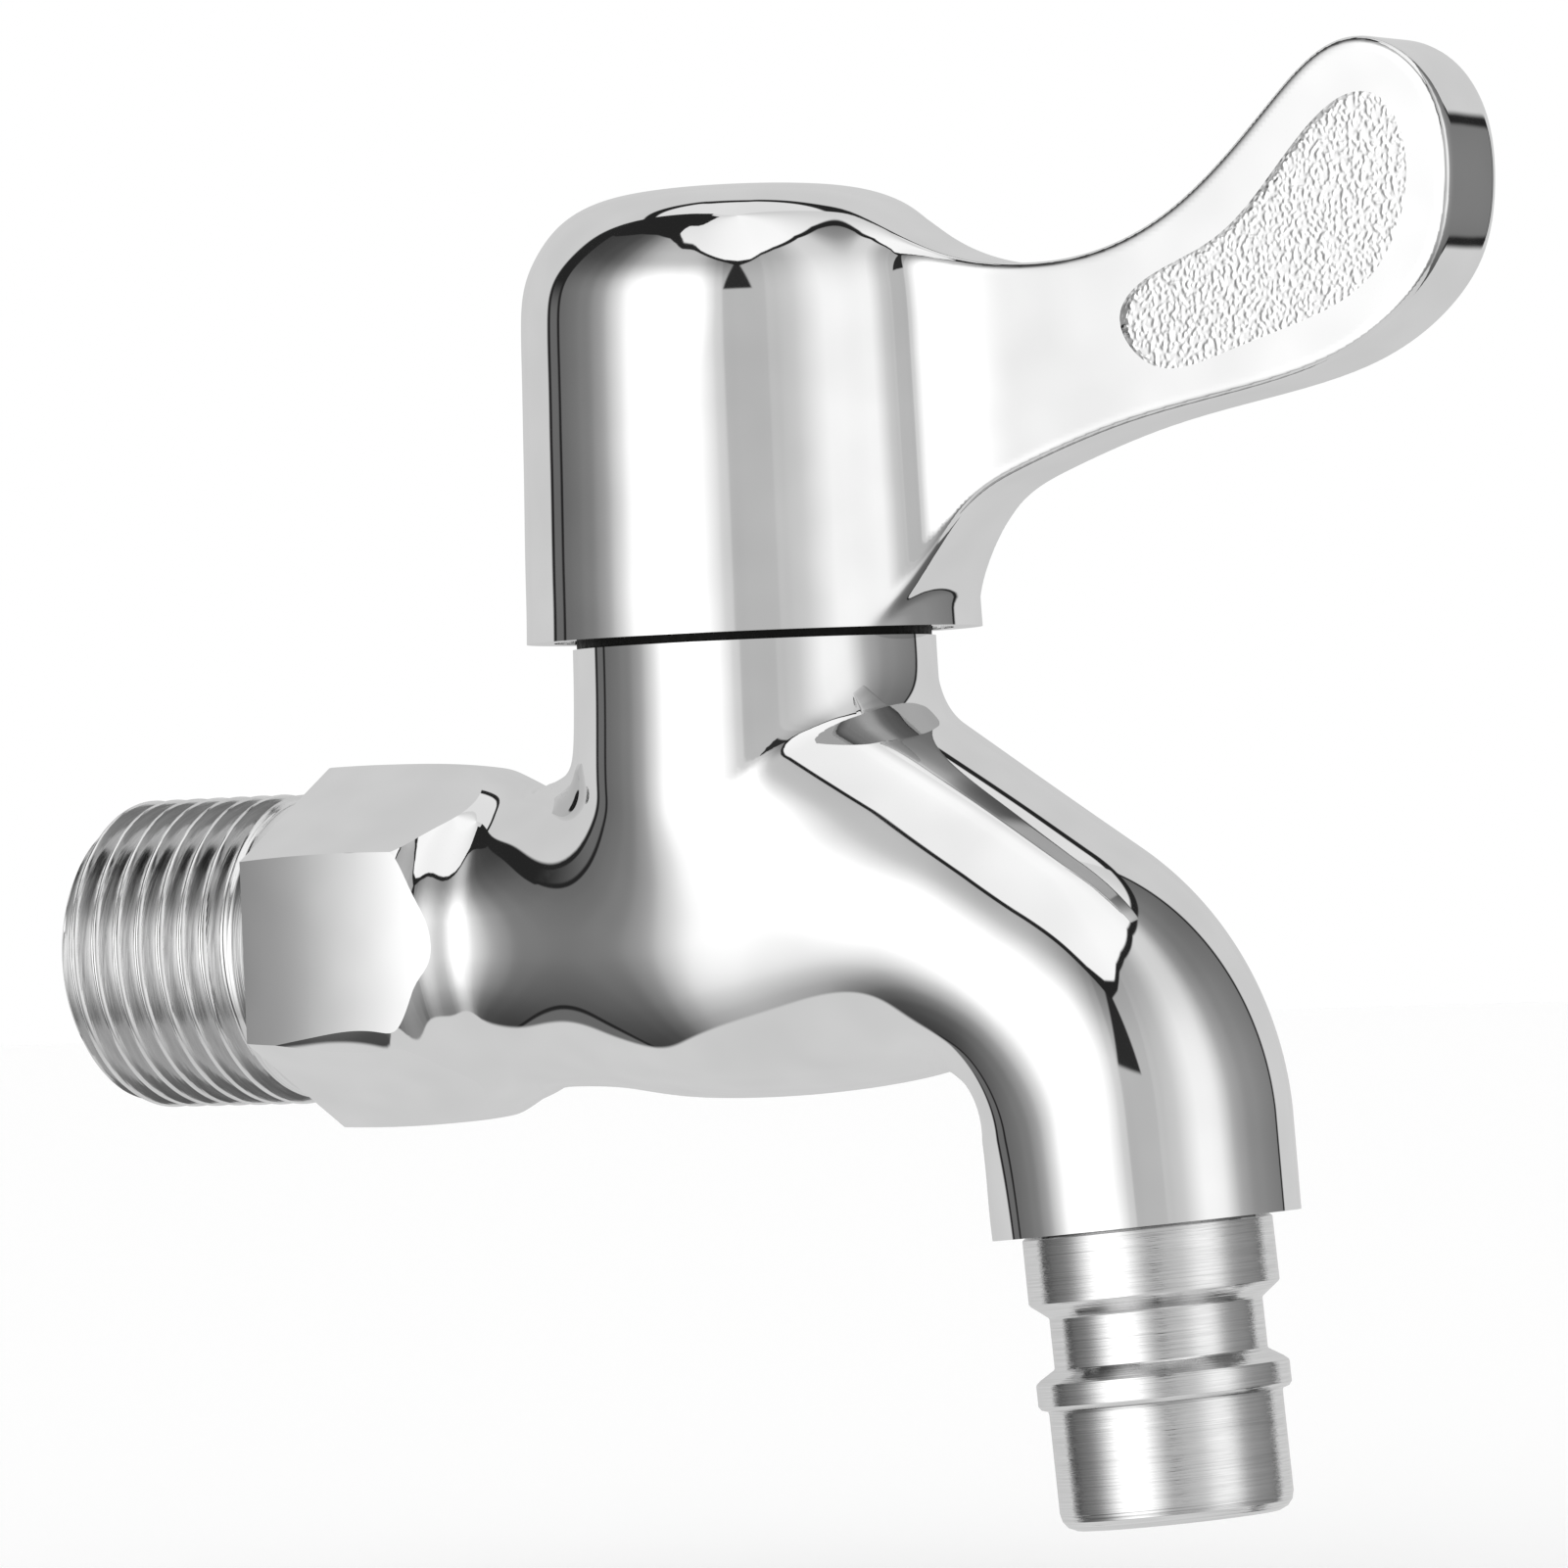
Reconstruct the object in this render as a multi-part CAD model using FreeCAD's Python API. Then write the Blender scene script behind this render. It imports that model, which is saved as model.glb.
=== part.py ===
import FreeCAD, Part
import math
import os
from FreeCAD import Vector

# Wall tap with a quarter-turn lever and a push-on hose nipple, in millimetres.
# Origin: centre of the end face of the inlet thread. +X runs out from the wall, +Z is up,
# and the tap is symmetrical about the plane y = 0. The lever is in its closed place.

# Inlet: half-inch pipe thread, kept as a plain cylinder at its crests
thread_radius = 10.48
thread_length = 16.2
inlet_bore_radius = 6.5

# Hexagon for the spanner
hex_across_flats = 22.0
hex_length = 15.8
hex_corner_radius = 12.45
hex_ground_height = 12.15
hex_lead_in = 0.55
hex_back_step = 0.3

# Horizontal part of the body
neck_length = 3.4
neck_to_spindle = 19.04
spindle_x = thread_length + hex_length + neck_to_spindle
neck_radius = 9.7
belly_radius = 10.8
belly_nose = 9.0
belly_rise_x = spindle_x - 2.3
body_blend_radius = 5.5
water_way_radius = 4.2
water_way_drop = 4.5
seat_bore_radius = 4.0
seat_z = 1.6

# Upright barrel that holds the cartridge
barrel_radius = 11.85
barrel_flare = 0.4
barrel_top = 23.0
barrel_bore_radius = 9.2

# Spout: straight slope, one bend, then down to the nipple
spout_radius = 10.0
spout_end_radius = 9.85
spout_slope = 32.9
spout_start_z = 10.65
spout_reach = 28.01
spout_drop = 19.4
spout_end_tilt = 4.33
spout_bend_radius = 12.5
spout_bore_radius = 4.8
facet_turn = 38.0
facet_depth = 0.25
facet_start = 8.0
facet_length = 27.0

# Hose nipple
nipple_bore_radius = 4.8
nipple_collar_radius = 8.0
nipple_groove_radius = 6.8
nipple_bead_radius = 8.08
nipple_tip_radius = 7.45
nipple_collar_length = 4.4
nipple_groove_start = 5.2
nipple_groove_end = 8.5
nipple_bead_start = 9.2
nipple_bead_end = 11.0
nipple_length = 18.8
nipple_tip_round = 1.2
nipple_spigot_radius = 7.2
nipple_spigot_length = 6.0
nipple_washer_thickness = 1.2
thread_clearance = 0.05

# Cartridge housing
housing_radius = 8.2
housing_bore_radius = 7.1
housing_flange_radius = 11.0
housing_flange_thickness = 1.5
housing_hex_across_flats = 17.0
housing_hex_height = 4.4
housing_neck_radius = 6.2
housing_neck_height = 2.4
housing_chamber_top = 13.4
window_width = 8.0
gasket_thickness = 1.0

# Ceramic discs and the seal under them
seal_height = 3.0
seal_free_height = 1.3
disc_radius = 6.95
fixed_disc_thickness = 3.0
moving_disc_thickness = 2.6
disc_port_inner_radius = 1.6
disc_port_outer_radius = 5.2
disc_port_angle = 84.0
moving_port_radius = 3.0
front_and_back = (0.0, 180.0)
disc_slot_width = 3.0
disc_slot_depth = 1.2
face_gap = 0.02

# Spindle
spindle_radius = 4.55
spindle_clearance = 0.05
spindle_foot_radius = 6.7
spindle_foot_thickness = 2.0
ring_section = 1.6
ring_spacing = 4.4
thrust_washer_thickness = 0.8
circlip_thickness = 0.8
circlip_radius = 6.0
circlip_groove_radius = 3.7
spline_outer_radius = 4.0
spline_inner_radius = 3.6
spline_teeth = 20
spline_clearance = 0.06
spindle_top_depth = 9.05
spline_engagement = 5.2
stop_rib_angle = 30.0
stop_rib_height = 1.4
stop_rib_radius = 5.4
stop_slack = 1.0
handle_travel = 90.0
two_sides = (90.0, 270.0)
tongue_clearance = 0.05

# Handle: cap with a lever blade
cap_overlap = 3.6
cap_rim_z = barrel_top - cap_overlap
cap_rim_radius = 14.84
cap_wall_height = 20.6
cap_shoulder_z = cap_rim_z + cap_wall_height
cap_shoulder_radius = 14.35
cap_dome_height = 8.65
cap_top_z = cap_shoulder_z + cap_dome_height
cap_wall = 1.75
cap_roof_z = cap_shoulder_z + 2.0
spindle_top = cap_top_z - spindle_top_depth
boss_radius = 7.6
boss_bottom_z = spindle_top - spline_engagement
boss_web_thickness = 1.8
bush_top_gap = 0.3
blade_thickness = 6.4
blade_root_fillet = 6.0
blade_root_length = 27.0
slab_drop = 1.3
trim_start = 4.0
recess_depth = 0.45

# Handle fixing: spline bush, screw, spring washer and cover
bush_radius = 5.6
screw_radius = 2.0
screw_length = 8.0
screw_head_radius = 3.6
screw_head_height = 2.2
spring_washer_thickness = 0.9
spring_washer_gap = 12.0
cover_radius = 5.6
cover_thickness = 1.6
cover_rise = 0.2
cover_clearance = 0.05

# Cap's dome: share of the shoulder's radius, share of the dome's height
cap_dome = [(0.9735, 0.33), (0.91, 0.555), (0.805, 0.763), (0.648, 0.908), (0.474, 0.971), (0.244, 0.996)]

# Lever outline seen from the side: distance from the spindle axis, height over the cap's rim
lever_outline = [
    (7.0, 28.7), (11.0, 27.7), (14.6, 25.3), (19.0, 23.3), (24.0, 22.6), (29.3, 23.1),
    (35.2, 25.6), (41.1, 30.4), (45.5, 34.1), (48.8, 34.9), (52.2, 33.4), (54.4, 29.9),
    (54.8, 25.4), (53.7, 21.0), (50.5, 17.4), (45.5, 14.8), (38.2, 13.2), (30.2, 11.7),
    (23.0, 9.5), (19.3, 7.7), (16.2, 4.2), (13.6, 0.0)]

# Grip recess in each side of the lever, from the same datums
recess_outline = [
    (30.8, 18.4), (32.6, 20.8), (37.9, 23.1), (42.4, 27.0), (47.2, 31.1), (50.3, 30.9),
    (51.9, 26.9), (50.6, 21.9), (47.2, 18.7), (39.3, 16.2), (33.2, 15.4)]

X_AXIS = Vector(1, 0, 0)
Y_AXIS = Vector(0, 1, 0)
Z_AXIS = Vector(0, 0, 1)
SPINDLE = Vector(spindle_x, 0, 0)


def cylinder(radius, height, base, axis=Z_AXIS):
    return Part.makeCylinder(radius, height, base, axis)


def edges_of(items):
    # Turns a list of edges, curves and runs of points into edges
    edges = []
    for item in items:
        if isinstance(item, list):
            edges += [Part.LineSegment(a, b).toShape() for a, b in zip(item, item[1:])]
        else:
            edges.append(item.toShape())
    return edges


def spline(points):
    curve = Part.BSplineCurve()
    curve.interpolate(points)
    return curve


def closed_face(items):
    return Part.Face(Part.Wire(Part.__sortEdges__(edges_of(items))))


def ring_solid(profile, centre=SPINDLE, axis=Z_AXIS, radial=X_AXIS):
    # Turned piece: profile is a list of (radius, height) corners
    points = [centre + radial * r + axis * h for r, h in profile]
    return closed_face([points + points[:1]]).revolve(centre, axis, 360)


def tube(outer, inner, low, high, centre=SPINDLE, axis=Z_AXIS):
    return ring_solid([(inner, low), (outer, low), (outer, high), (inner, high)], centre, axis)


def hex_prism(across_flats, height, base, axis, corner):
    # Hexagon with one corner towards the direction given
    radius = across_flats / math.sqrt(3)
    side = axis.cross(corner)
    corners = []
    for step in range(7):
        turn = math.radians(60 * step)
        corners.append(base + corner * (radius * math.cos(turn)) + side * (radius * math.sin(turn)))
    return closed_face([corners]).extrude(axis * height)


def sector(inner, outer, start, sweep, low, high):
    # Slice of a ring about the spindle, from the start angle through the sweep, in degrees
    piece = tube_slice(inner, outer, low, high, sweep)
    piece.rotate(SPINDLE, Z_AXIS, start)
    return piece


def tube_slice(inner, outer, low, high, sweep):
    corners = [(inner, low), (outer, low), (outer, high), (inner, high), (inner, low)]
    points = [SPINDLE + X_AXIS * r + Z_AXIS * h for r, h in corners]
    return closed_face([points]).revolve(SPINDLE, Z_AXIS, sweep)


# Spout centre line
def spout_directions():
    slope = math.radians(spout_slope)
    tilt = math.radians(spout_end_tilt)
    along = Vector(math.cos(slope), 0, -math.sin(slope))
    down = Vector(math.sin(tilt), 0, -math.cos(tilt))
    return along, down


def spout_end():
    return Vector(spindle_x + spout_reach, 0, -spout_drop)


def spout_line():
    # Start on the barrel's axis, tangent points of the bend, and end
    along, down = spout_directions()
    start = Vector(spindle_x, 0, spout_start_z)
    end = spout_end()
    gap = end - start
    cross = along.x * down.z - along.z * down.x
    reach = (gap.x * down.z - gap.z * down.x) / cross
    corner = start + along * reach
    half_turn = along.getAngle(down) / 2
    setback = spout_bend_radius * math.tan(half_turn)
    first = corner - along * setback
    last = corner + down * setback
    return start, first, last, end


def spout_tube(radius, end_radius, start_step=0.0):
    # Round tube along the spout: straight, bend, and a slightly tapered end
    start, first, last, end = spout_line()
    along, down = spout_directions()
    start = start + along * start_step
    straight = cylinder(radius, (first - start).Length, start, along)
    inward = Vector(along.z, 0, -along.x)
    hub = first + inward * spout_bend_radius
    turn = math.degrees(along.getAngle(down))
    circle = Part.Face(Part.Wire(Part.makeCircle(radius, first, along)))
    bend = circle.revolve(hub, Y_AXIS, turn)
    length = (end - last).Length
    taper = ring_solid([(0, 0), (radius, 0), (end_radius, length), (0, length)], last, down, Y_AXIS)
    return straight.fuse([bend, taper])


# Tap body
def inlet_form():
    # Thread, spanner hexagon with its top and bottom corners ground off, and the neck
    hex_start = thread_length
    hex_end = hex_start + hex_length
    hex_profile = [
        (0, hex_start), (hex_across_flats / 2, hex_start),
        (hex_corner_radius, hex_start + hex_lead_in),
        (hex_corner_radius, hex_start + 0.55 * hex_length),
        (hex_corner_radius - 0.5, hex_start + 0.76 * hex_length),
        (hex_corner_radius - 1.1, hex_start + 0.89 * hex_length),
        (hex_across_flats / 2 - hex_back_step, hex_end), (0, hex_end)]
    hexagon = ring_solid(hex_profile, Vector(), X_AXIS, Z_AXIS)
    flats = hex_prism(hex_across_flats, hex_length, Vector(hex_start, 0, 0), X_AXIS, Z_AXIS)
    ground = Part.makeBox(hex_length, 4 * hex_corner_radius, 2 * hex_ground_height,
                          Vector(hex_start, -2 * hex_corner_radius, -hex_ground_height))
    thread = cylinder(thread_radius, thread_length, Vector(), X_AXIS)
    return thread.fuse([hexagon.common(flats).common(ground), neck_form(hex_end)])


def neck_form(hex_end):
    # Waist behind the hexagon, then the belly under the barrel and its round nose
    neck_x = hex_end + neck_length
    run = [(hex_end, hex_across_flats / 2 - hex_back_step), (neck_x, neck_radius),
           ((neck_x + belly_rise_x) / 2, (neck_radius + belly_radius) / 2 + 0.1),
           (belly_rise_x, belly_radius), (belly_rise_x + 7.0, belly_radius - 0.25),
           (belly_rise_x + 13.5, belly_radius - 0.8)]
    points = [Vector(x, 0, r) for x, r in run]
    nose_x = run[-1][0] + belly_nose
    mid = math.sqrt(0.5)
    nose = Part.Arc(points[-1], Vector(run[-1][0] + belly_nose * mid, 0, run[-1][1] * mid),
                    Vector(nose_x, 0, 0))
    back = [Vector(nose_x, 0, 0), Vector(run[0][0], 0, 0), points[0]]
    return closed_face([spline(points), nose, back]).revolve(Vector(), X_AXIS, 360)


def barrel_form():
    # Upright barrel with a rounded foot that blends into the belly
    wide = barrel_radius + barrel_flare
    top = [Vector(spindle_x, 0, barrel_top), Vector(spindle_x + barrel_radius, 0, barrel_top)]
    points = [Vector(spindle_x + r, 0, z) for r, z in
              [(barrel_radius, barrel_top), (barrel_radius, cap_rim_z - 0.4), (wide, 10.0),
               (wide, 3.0), (0.72 * wide, -0.72 * belly_radius), (0, -belly_radius)]]
    down = [points[-1], Vector(spindle_x, 0, barrel_top)]
    return closed_face([top, spline(points), down]).revolve(SPINDLE, Z_AXIS, 360)


def facet_cutter(side):
    # Flat-bottomed cut along one upper flank of the spout's slope
    start, first, last, end = spout_line()
    along, down = spout_directions()
    top = along.cross(Y_AXIS)
    turn = math.radians(facet_turn)
    normal = top * math.cos(turn) + Y_AXIS * (side * math.sin(turn))
    across = along.cross(normal)
    width = spout_radius
    low = spout_radius - facet_depth
    corner = start + along * facet_start + normal * low - across * (width / 2)
    run = [corner, corner + along * facet_length, corner + along * facet_length + across * width,
           corner + across * width, corner]
    return closed_face([run]).extrude(normal * spout_radius)


def body_cavity():
    # Inlet bore, passage under the seat, seat hole, cartridge chamber and spout bore
    turn_x = thread_length + hex_length + 4.0
    inlet = cylinder(inlet_bore_radius, turn_x, Vector(), X_AXIS)
    low = Vector(spindle_x, 0, -water_way_drop)
    run = low - Vector(turn_x - 3.0, 0, 0)
    passage = cylinder(water_way_radius, run.Length, Vector(turn_x - 3.0, 0, 0), run)
    elbow = Part.makeSphere(water_way_radius, low)
    seat = cylinder(seat_bore_radius, seat_z + water_way_drop, low)
    chamber = cylinder(barrel_bore_radius, barrel_top - seat_z, SPINDLE + Z_AXIS * seat_z)
    outlet = spout_tube(spout_bore_radius, spout_bore_radius, 4.0)
    along, down = spout_directions()
    socket = cylinder(nipple_spigot_radius + thread_clearance,
                      nipple_spigot_length + nipple_washer_thickness, spout_end(), down * -1)
    return inlet.fuse([passage, elbow, seat, chamber, outlet, socket])


def crease_angle(shape, edge):
    # Angle between the two faces at the middle of an edge, in degrees
    faces = [face for face in shape.Faces if any(edge.isSame(other) for other in face.Edges)]
    if len(faces) != 2:
        return 0.0
    point = edge.valueAt((edge.FirstParameter + edge.LastParameter) / 2)
    first, second = [face.normalAt(*face.Surface.parameter(point)) for face in faces]
    return math.degrees(first.getAngle(second))


def body_seams(form):
    # Creases where neck, barrel and spout run into each other
    low_x = thread_length + hex_length + neck_length
    high_x = spindle_x + barrel_radius + 5.0
    return [edge for edge in form.Edges
            if edge.BoundBox.XMin > low_x and edge.BoundBox.XMax < high_x
            and edge.BoundBox.ZMax < cap_rim_z and crease_angle(form, edge) > 5.0]


def tap_body():
    form = inlet_form().fuse([barrel_form(), spout_tube(spout_radius, spout_end_radius)]).removeSplitter()
    form = form.makeFillet(body_blend_radius, body_seams(form))
    form = form.cut(facet_cutter(1)).cut(facet_cutter(-1))
    return form.cut(body_cavity()).removeSplitter()


# Hose nipple at the spout's end
def nipple_profile():
    tip = nipple_length - nipple_tip_round
    return [
        (nipple_bore_radius, -nipple_spigot_length), (nipple_spigot_radius, -nipple_spigot_length),
        (nipple_spigot_radius, 0), (nipple_collar_radius, 0),
        (nipple_collar_radius, nipple_collar_length), (nipple_groove_radius, nipple_groove_start),
        (nipple_groove_radius, nipple_groove_end), (nipple_bead_radius, nipple_bead_start),
        (nipple_bead_radius, nipple_bead_end), (nipple_tip_radius, nipple_bead_end + 0.2),
        (nipple_tip_radius, tip), (nipple_tip_radius - 0.35 * nipple_tip_round, tip + 0.7 * nipple_tip_round),
        (nipple_tip_radius - nipple_tip_round, nipple_length), (nipple_bore_radius, nipple_length)]


def outlet_nipple():
    along, down = spout_directions()
    return ring_solid(nipple_profile(), spout_end(), down, Y_AXIS)


def nipple_washer():
    along, down = spout_directions()
    high = nipple_spigot_length + nipple_washer_thickness
    profile = [(nipple_bore_radius, nipple_spigot_length), (nipple_spigot_radius - 0.2, nipple_spigot_length),
               (nipple_spigot_radius - 0.2, high), (nipple_bore_radius, high)]
    return ring_solid(profile, spout_end(), down * -1, Y_AXIS)


# Heights of the cartridge stack
def stack():
    seal_low = seat_z
    fixed_low = seal_low + seal_height
    moving_low = fixed_low + fixed_disc_thickness + face_gap
    foot_low = moving_low + moving_disc_thickness + face_gap
    foot_high = foot_low + spindle_foot_thickness
    flange_low = barrel_top + gasket_thickness
    flange_high = flange_low + housing_flange_thickness
    hex_high = flange_high + housing_hex_height
    neck_high = hex_high + housing_neck_height
    return {"fixed": fixed_low, "moving": moving_low, "foot": foot_low, "foot_top": foot_high,
            "flange": flange_low, "flange_top": flange_high, "hex_top": hex_high, "neck_top": neck_high}


def cartridge_housing():
    level = stack()
    low = seat_z + seal_free_height
    thread = barrel_bore_radius - thread_clearance
    bore = spindle_radius + spindle_clearance
    profile = [
        (housing_bore_radius, low), (housing_radius, low), (housing_radius, housing_chamber_top),
        (thread, housing_chamber_top + 1.0), (thread, level["flange"]),
        (housing_flange_radius, level["flange"]), (housing_flange_radius, level["flange_top"]),
        (housing_neck_radius, level["flange_top"]), (housing_neck_radius, level["neck_top"]),
        (bore, level["neck_top"]), (bore, housing_chamber_top), (housing_bore_radius, housing_chamber_top)]
    body = ring_solid(profile)
    nut = hex_prism(housing_hex_across_flats, housing_hex_height,
                    SPINDLE + Z_AXIS * level["flange_top"], Z_AXIS, X_AXIS)
    hole = cylinder(bore, housing_hex_height, SPINDLE + Z_AXIS * level["flange_top"])
    window_low = level["moving"] + 0.4
    window = Part.makeBox(4 * housing_radius, window_width, housing_chamber_top - 1.0 - window_low,
                          Vector(spindle_x - 2 * housing_radius, -window_width / 2, window_low))
    return body.fuse(nut.cut(hole)).cut(window).fuse(stop_ribs()).removeSplitter()


def stop_ribs():
    # Two ribs inside the chamber roof that stop the spindle's foot at each end of its turn
    level = stack()
    low = level["foot_top"] - stop_rib_height + 0.3
    ribs = [sector(stop_rib_radius, housing_bore_radius + 0.2, start - stop_rib_angle / 2,
                   stop_rib_angle, low, housing_chamber_top + 0.1) for start in two_sides]
    return ribs


def cartridge_gasket():
    return tube(housing_flange_radius - 0.1, barrel_bore_radius + 0.1, barrel_top, barrel_top + gasket_thickness)


def seat_seal():
    low = seat_z
    high = stack()["fixed"]
    lip = housing_bore_radius - 0.05
    return ring_solid([(seat_bore_radius, low), (lip - 0.7, low), (lip, low + 0.6), (lip, high), (seat_bore_radius, high)])


def disc_ports(inner, outer, low, high, starts):
    # Two ports opposite each other, each centred on one of the angles given
    return [sector(inner, outer, start - disc_port_angle / 2, disc_port_angle, low, high) for start in starts]


def fixed_disc():
    low = stack()["fixed"]
    high = low + fixed_disc_thickness
    disc = cylinder(disc_radius, fixed_disc_thickness, SPINDLE + Z_AXIS * low)
    return disc.cut(disc_ports(disc_port_inner_radius, disc_port_outer_radius, low - 1, high + 1, two_sides))


def moving_disc():
    # Ports stand across those of the fixed disc while the tap is closed
    low = stack()["moving"]
    high = low + moving_disc_thickness
    disc = cylinder(disc_radius, moving_disc_thickness, SPINDLE + Z_AXIS * low)
    slot = Part.makeBox(4 * disc_radius, disc_slot_width, disc_slot_depth + 1,
                        Vector(spindle_x - 2 * disc_radius, -disc_slot_width / 2, high - disc_slot_depth))
    slot.rotate(SPINDLE, Z_AXIS, 90)
    ports = disc_ports(moving_port_radius, disc_radius + 1, low - 1, high + 1, front_and_back)
    return disc.cut(ports).cut(slot)


def spline_shape(radius_out, radius_in, low, high):
    # Straight-sided teeth round the spindle's axis
    points = []
    for tooth in range(spline_teeth):
        for part, radius in ((-0.3, radius_in), (-0.14, radius_out), (0.14, radius_out), (0.3, radius_in)):
            turn = 2 * math.pi * (tooth + part) / spline_teeth
            points.append(SPINDLE + Vector(radius * math.cos(turn), radius * math.sin(turn), low))
    return closed_face([points + points[:1]]).extrude(Z_AXIS * (high - low))


def ring_groove_levels():
    upper = stack()["flange_top"] + 1.0
    return upper - ring_spacing, upper


def spindle():
    level = stack()
    neck_top = level["neck_top"]
    clip_low = neck_top + thrust_washer_thickness + 2 * face_gap
    clip_high = clip_low + circlip_thickness
    groove = spindle_radius - 0.8 * ring_section
    low_ring, high_ring = ring_groove_levels()
    profile = [(0, level["foot"]), (spindle_foot_radius, level["foot"]),
               (spindle_foot_radius, level["foot_top"]), (spindle_radius, level["foot_top"])]
    for ring in (low_ring, high_ring):
        profile += [(spindle_radius, ring), (groove, ring), (groove, ring + ring_section + 0.2),
                    (spindle_radius, ring + ring_section + 0.2)]
    profile += [(spindle_radius, clip_low), (circlip_groove_radius, clip_low),
                (circlip_groove_radius, clip_high), (spline_outer_radius, clip_high),
                (spline_outer_radius, clip_high + 0.4), (0, clip_high + 0.4)]
    shaft = ring_solid(profile)
    teeth = spline_shape(spline_outer_radius, spline_inner_radius, clip_high + 0.4, spindle_top)
    tongue = Part.makeBox(2 * disc_radius, disc_slot_width - 2 * tongue_clearance, disc_slot_depth,
                          Vector(spindle_x - disc_radius, tongue_clearance - disc_slot_width / 2,
                                 level["foot"] - disc_slot_depth + face_gap))
    tongue.rotate(SPINDLE, Z_AXIS, 90)
    tongue = tongue.common(cylinder(disc_radius - 0.3, 20, SPINDLE))
    tapped = cylinder(screw_radius + thread_clearance, screw_length + 0.5,
                      SPINDLE + Z_AXIS * (spindle_top - screw_length))
    return shaft.fuse([teeth, tongue]).cut(stop_notches()).cut(tapped).removeSplitter()


def stop_notches():
    # The ribs stand at the start of these notches when closed and at their end when open
    level = stack()
    low = level["foot_top"] - stop_rib_height
    sweep = handle_travel + stop_rib_angle + 2 * stop_slack
    first = handle_travel + stop_rib_angle / 2 + stop_slack
    return [sector(stop_rib_radius - 0.3, spindle_foot_radius + 1, start - first, sweep, low,
                   level["foot_top"] + 1) for start in two_sides]


def o_ring(low):
    # Ring with an eight-sided section, resting in its groove
    radius = 0.4 * ring_section
    middle = spindle_radius - radius
    height = low + ring_section / 2 + 0.1
    section = []
    for corner in range(8):
        turn = math.radians(45 * corner + 22.5)
        section.append((middle + radius * math.cos(turn), height + radius * math.sin(turn)))
    return ring_solid(section)


def thrust_washer():
    low = stack()["neck_top"] + face_gap
    return tube(housing_neck_radius, spindle_radius + spindle_clearance, low, low + thrust_washer_thickness)


def circlip():
    # Open ring in the spindle's groove
    low = stack()["neck_top"] + thrust_washer_thickness + 2 * face_gap
    ring = tube(circlip_radius, circlip_groove_radius, low, low + circlip_thickness)
    mouth = Part.makeBox(circlip_radius, 1.2 * circlip_groove_radius, 3 * circlip_thickness,
                         Vector(spindle_x + 0.4 * circlip_groove_radius, -0.6 * circlip_groove_radius,
                                low - circlip_thickness))
    return ring.cut(mouth)


# Handle
def cap_form(low):
    # Outer form of the cap, down to the height given: drafted wall, rounded shoulder, low dome
    draft = (cap_rim_radius - cap_shoulder_radius) / cap_wall_height
    shoulder = Vector(spindle_x + cap_shoulder_radius, 0, cap_shoulder_z)
    top = Vector(spindle_x, 0, cap_top_z)
    between = [Vector(spindle_x + across * cap_shoulder_radius, 0, cap_shoulder_z + rise * cap_dome_height)
               for across, rise in cap_dome]
    dome = Part.BSplineCurve()
    dome.interpolate([shoulder] + between + [top],
                     InitialTangent=Vector(-draft, 0, 1), FinalTangent=Vector(-1, 0, 0))
    foot = Vector(spindle_x, 0, low)
    rim = Vector(spindle_x + cap_rim_radius + draft * (cap_rim_z - low), 0, low)
    return closed_face([[top, foot, rim, shoulder], dome]).revolve(SPINDLE, Z_AXIS, 360)


def side_outline(pairs, closing):
    points = [Vector(spindle_x + x, 0, cap_rim_z + z) for x, z in pairs]
    return closed_face([spline(points), [points[-1]] + closing + [points[0]]])


def lever_sheet(width):
    # The lever's side outline, carried across the width given
    inside = [Vector(spindle_x + 5.0, 0, cap_rim_z), Vector(spindle_x + 5.0, 0, cap_rim_z + lever_outline[0][1])]
    outline = side_outline(lever_outline, inside)
    outline.translate(Vector(0, -width / 2, 0))
    return outline.extrude(Y_AXIS * width)


def flat_seams(shape, half):
    # Edges where the blade's two flat sides meet the cap
    seams = []
    for edge in shape.Edges:
        box = edge.BoundBox
        flat = box.YMax - box.YMin < 0.01 and abs(abs(box.YMin) - half) < 0.01
        if flat and box.XMax < spindle_x + cap_rim_radius + 1.5 and box.XMin > spindle_x + cap_rim_radius / 2:
            seams.append(edge)
    return seams


def handle_form():
    # Cap and lever: the root is blended at full height and then trimmed to the side outline
    low = cap_rim_z - blade_root_fillet - 2.0
    half = blade_thickness / 2
    cap = cap_form(low)
    slab = Part.makeBox(blade_root_length, blade_thickness, cap_top_z - slab_drop - low,
                        Vector(spindle_x, -half, low))
    joined = cap.fuse(slab).removeSplitter()
    root = joined.makeFillet(blade_root_fillet, flat_seams(joined, half))
    beyond = Part.makeBox(2 * blade_root_length, 4 * cap_rim_radius, 3 * cap_top_z,
                          Vector(spindle_x + cap_rim_radius - trim_start, -2 * cap_rim_radius, low - 1))
    root = root.cut(beyond.cut(lever_sheet(4 * cap_rim_radius)).cut(cap))
    far = Part.makeBox(4 * blade_root_length, blade_thickness, 2 * cap_top_z,
                       Vector(spindle_x + blade_root_length - 0.1, -half, low))
    blade = lever_sheet(blade_thickness).common(far)
    under = Part.makeBox(4 * cap_rim_radius, 4 * cap_rim_radius, cap_rim_z - low + 2,
                         Vector(spindle_x - 2 * cap_rim_radius, -2 * cap_rim_radius, low - 2))
    return root.fuse(blade).removeSplitter().cut(under)


def recess_cutter(side):
    points = [Vector(spindle_x + x, 0, cap_rim_z + z) for x, z in recess_outline]
    curve = Part.BSplineCurve()
    curve.interpolate(points, PeriodicFlag=True)
    face = Part.Face(Part.Wire(curve.toShape()))
    face.translate(Vector(0, side * (blade_thickness / 2 - recess_depth), 0))
    return face.extrude(Vector(0, side * 5.0, 0))


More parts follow.
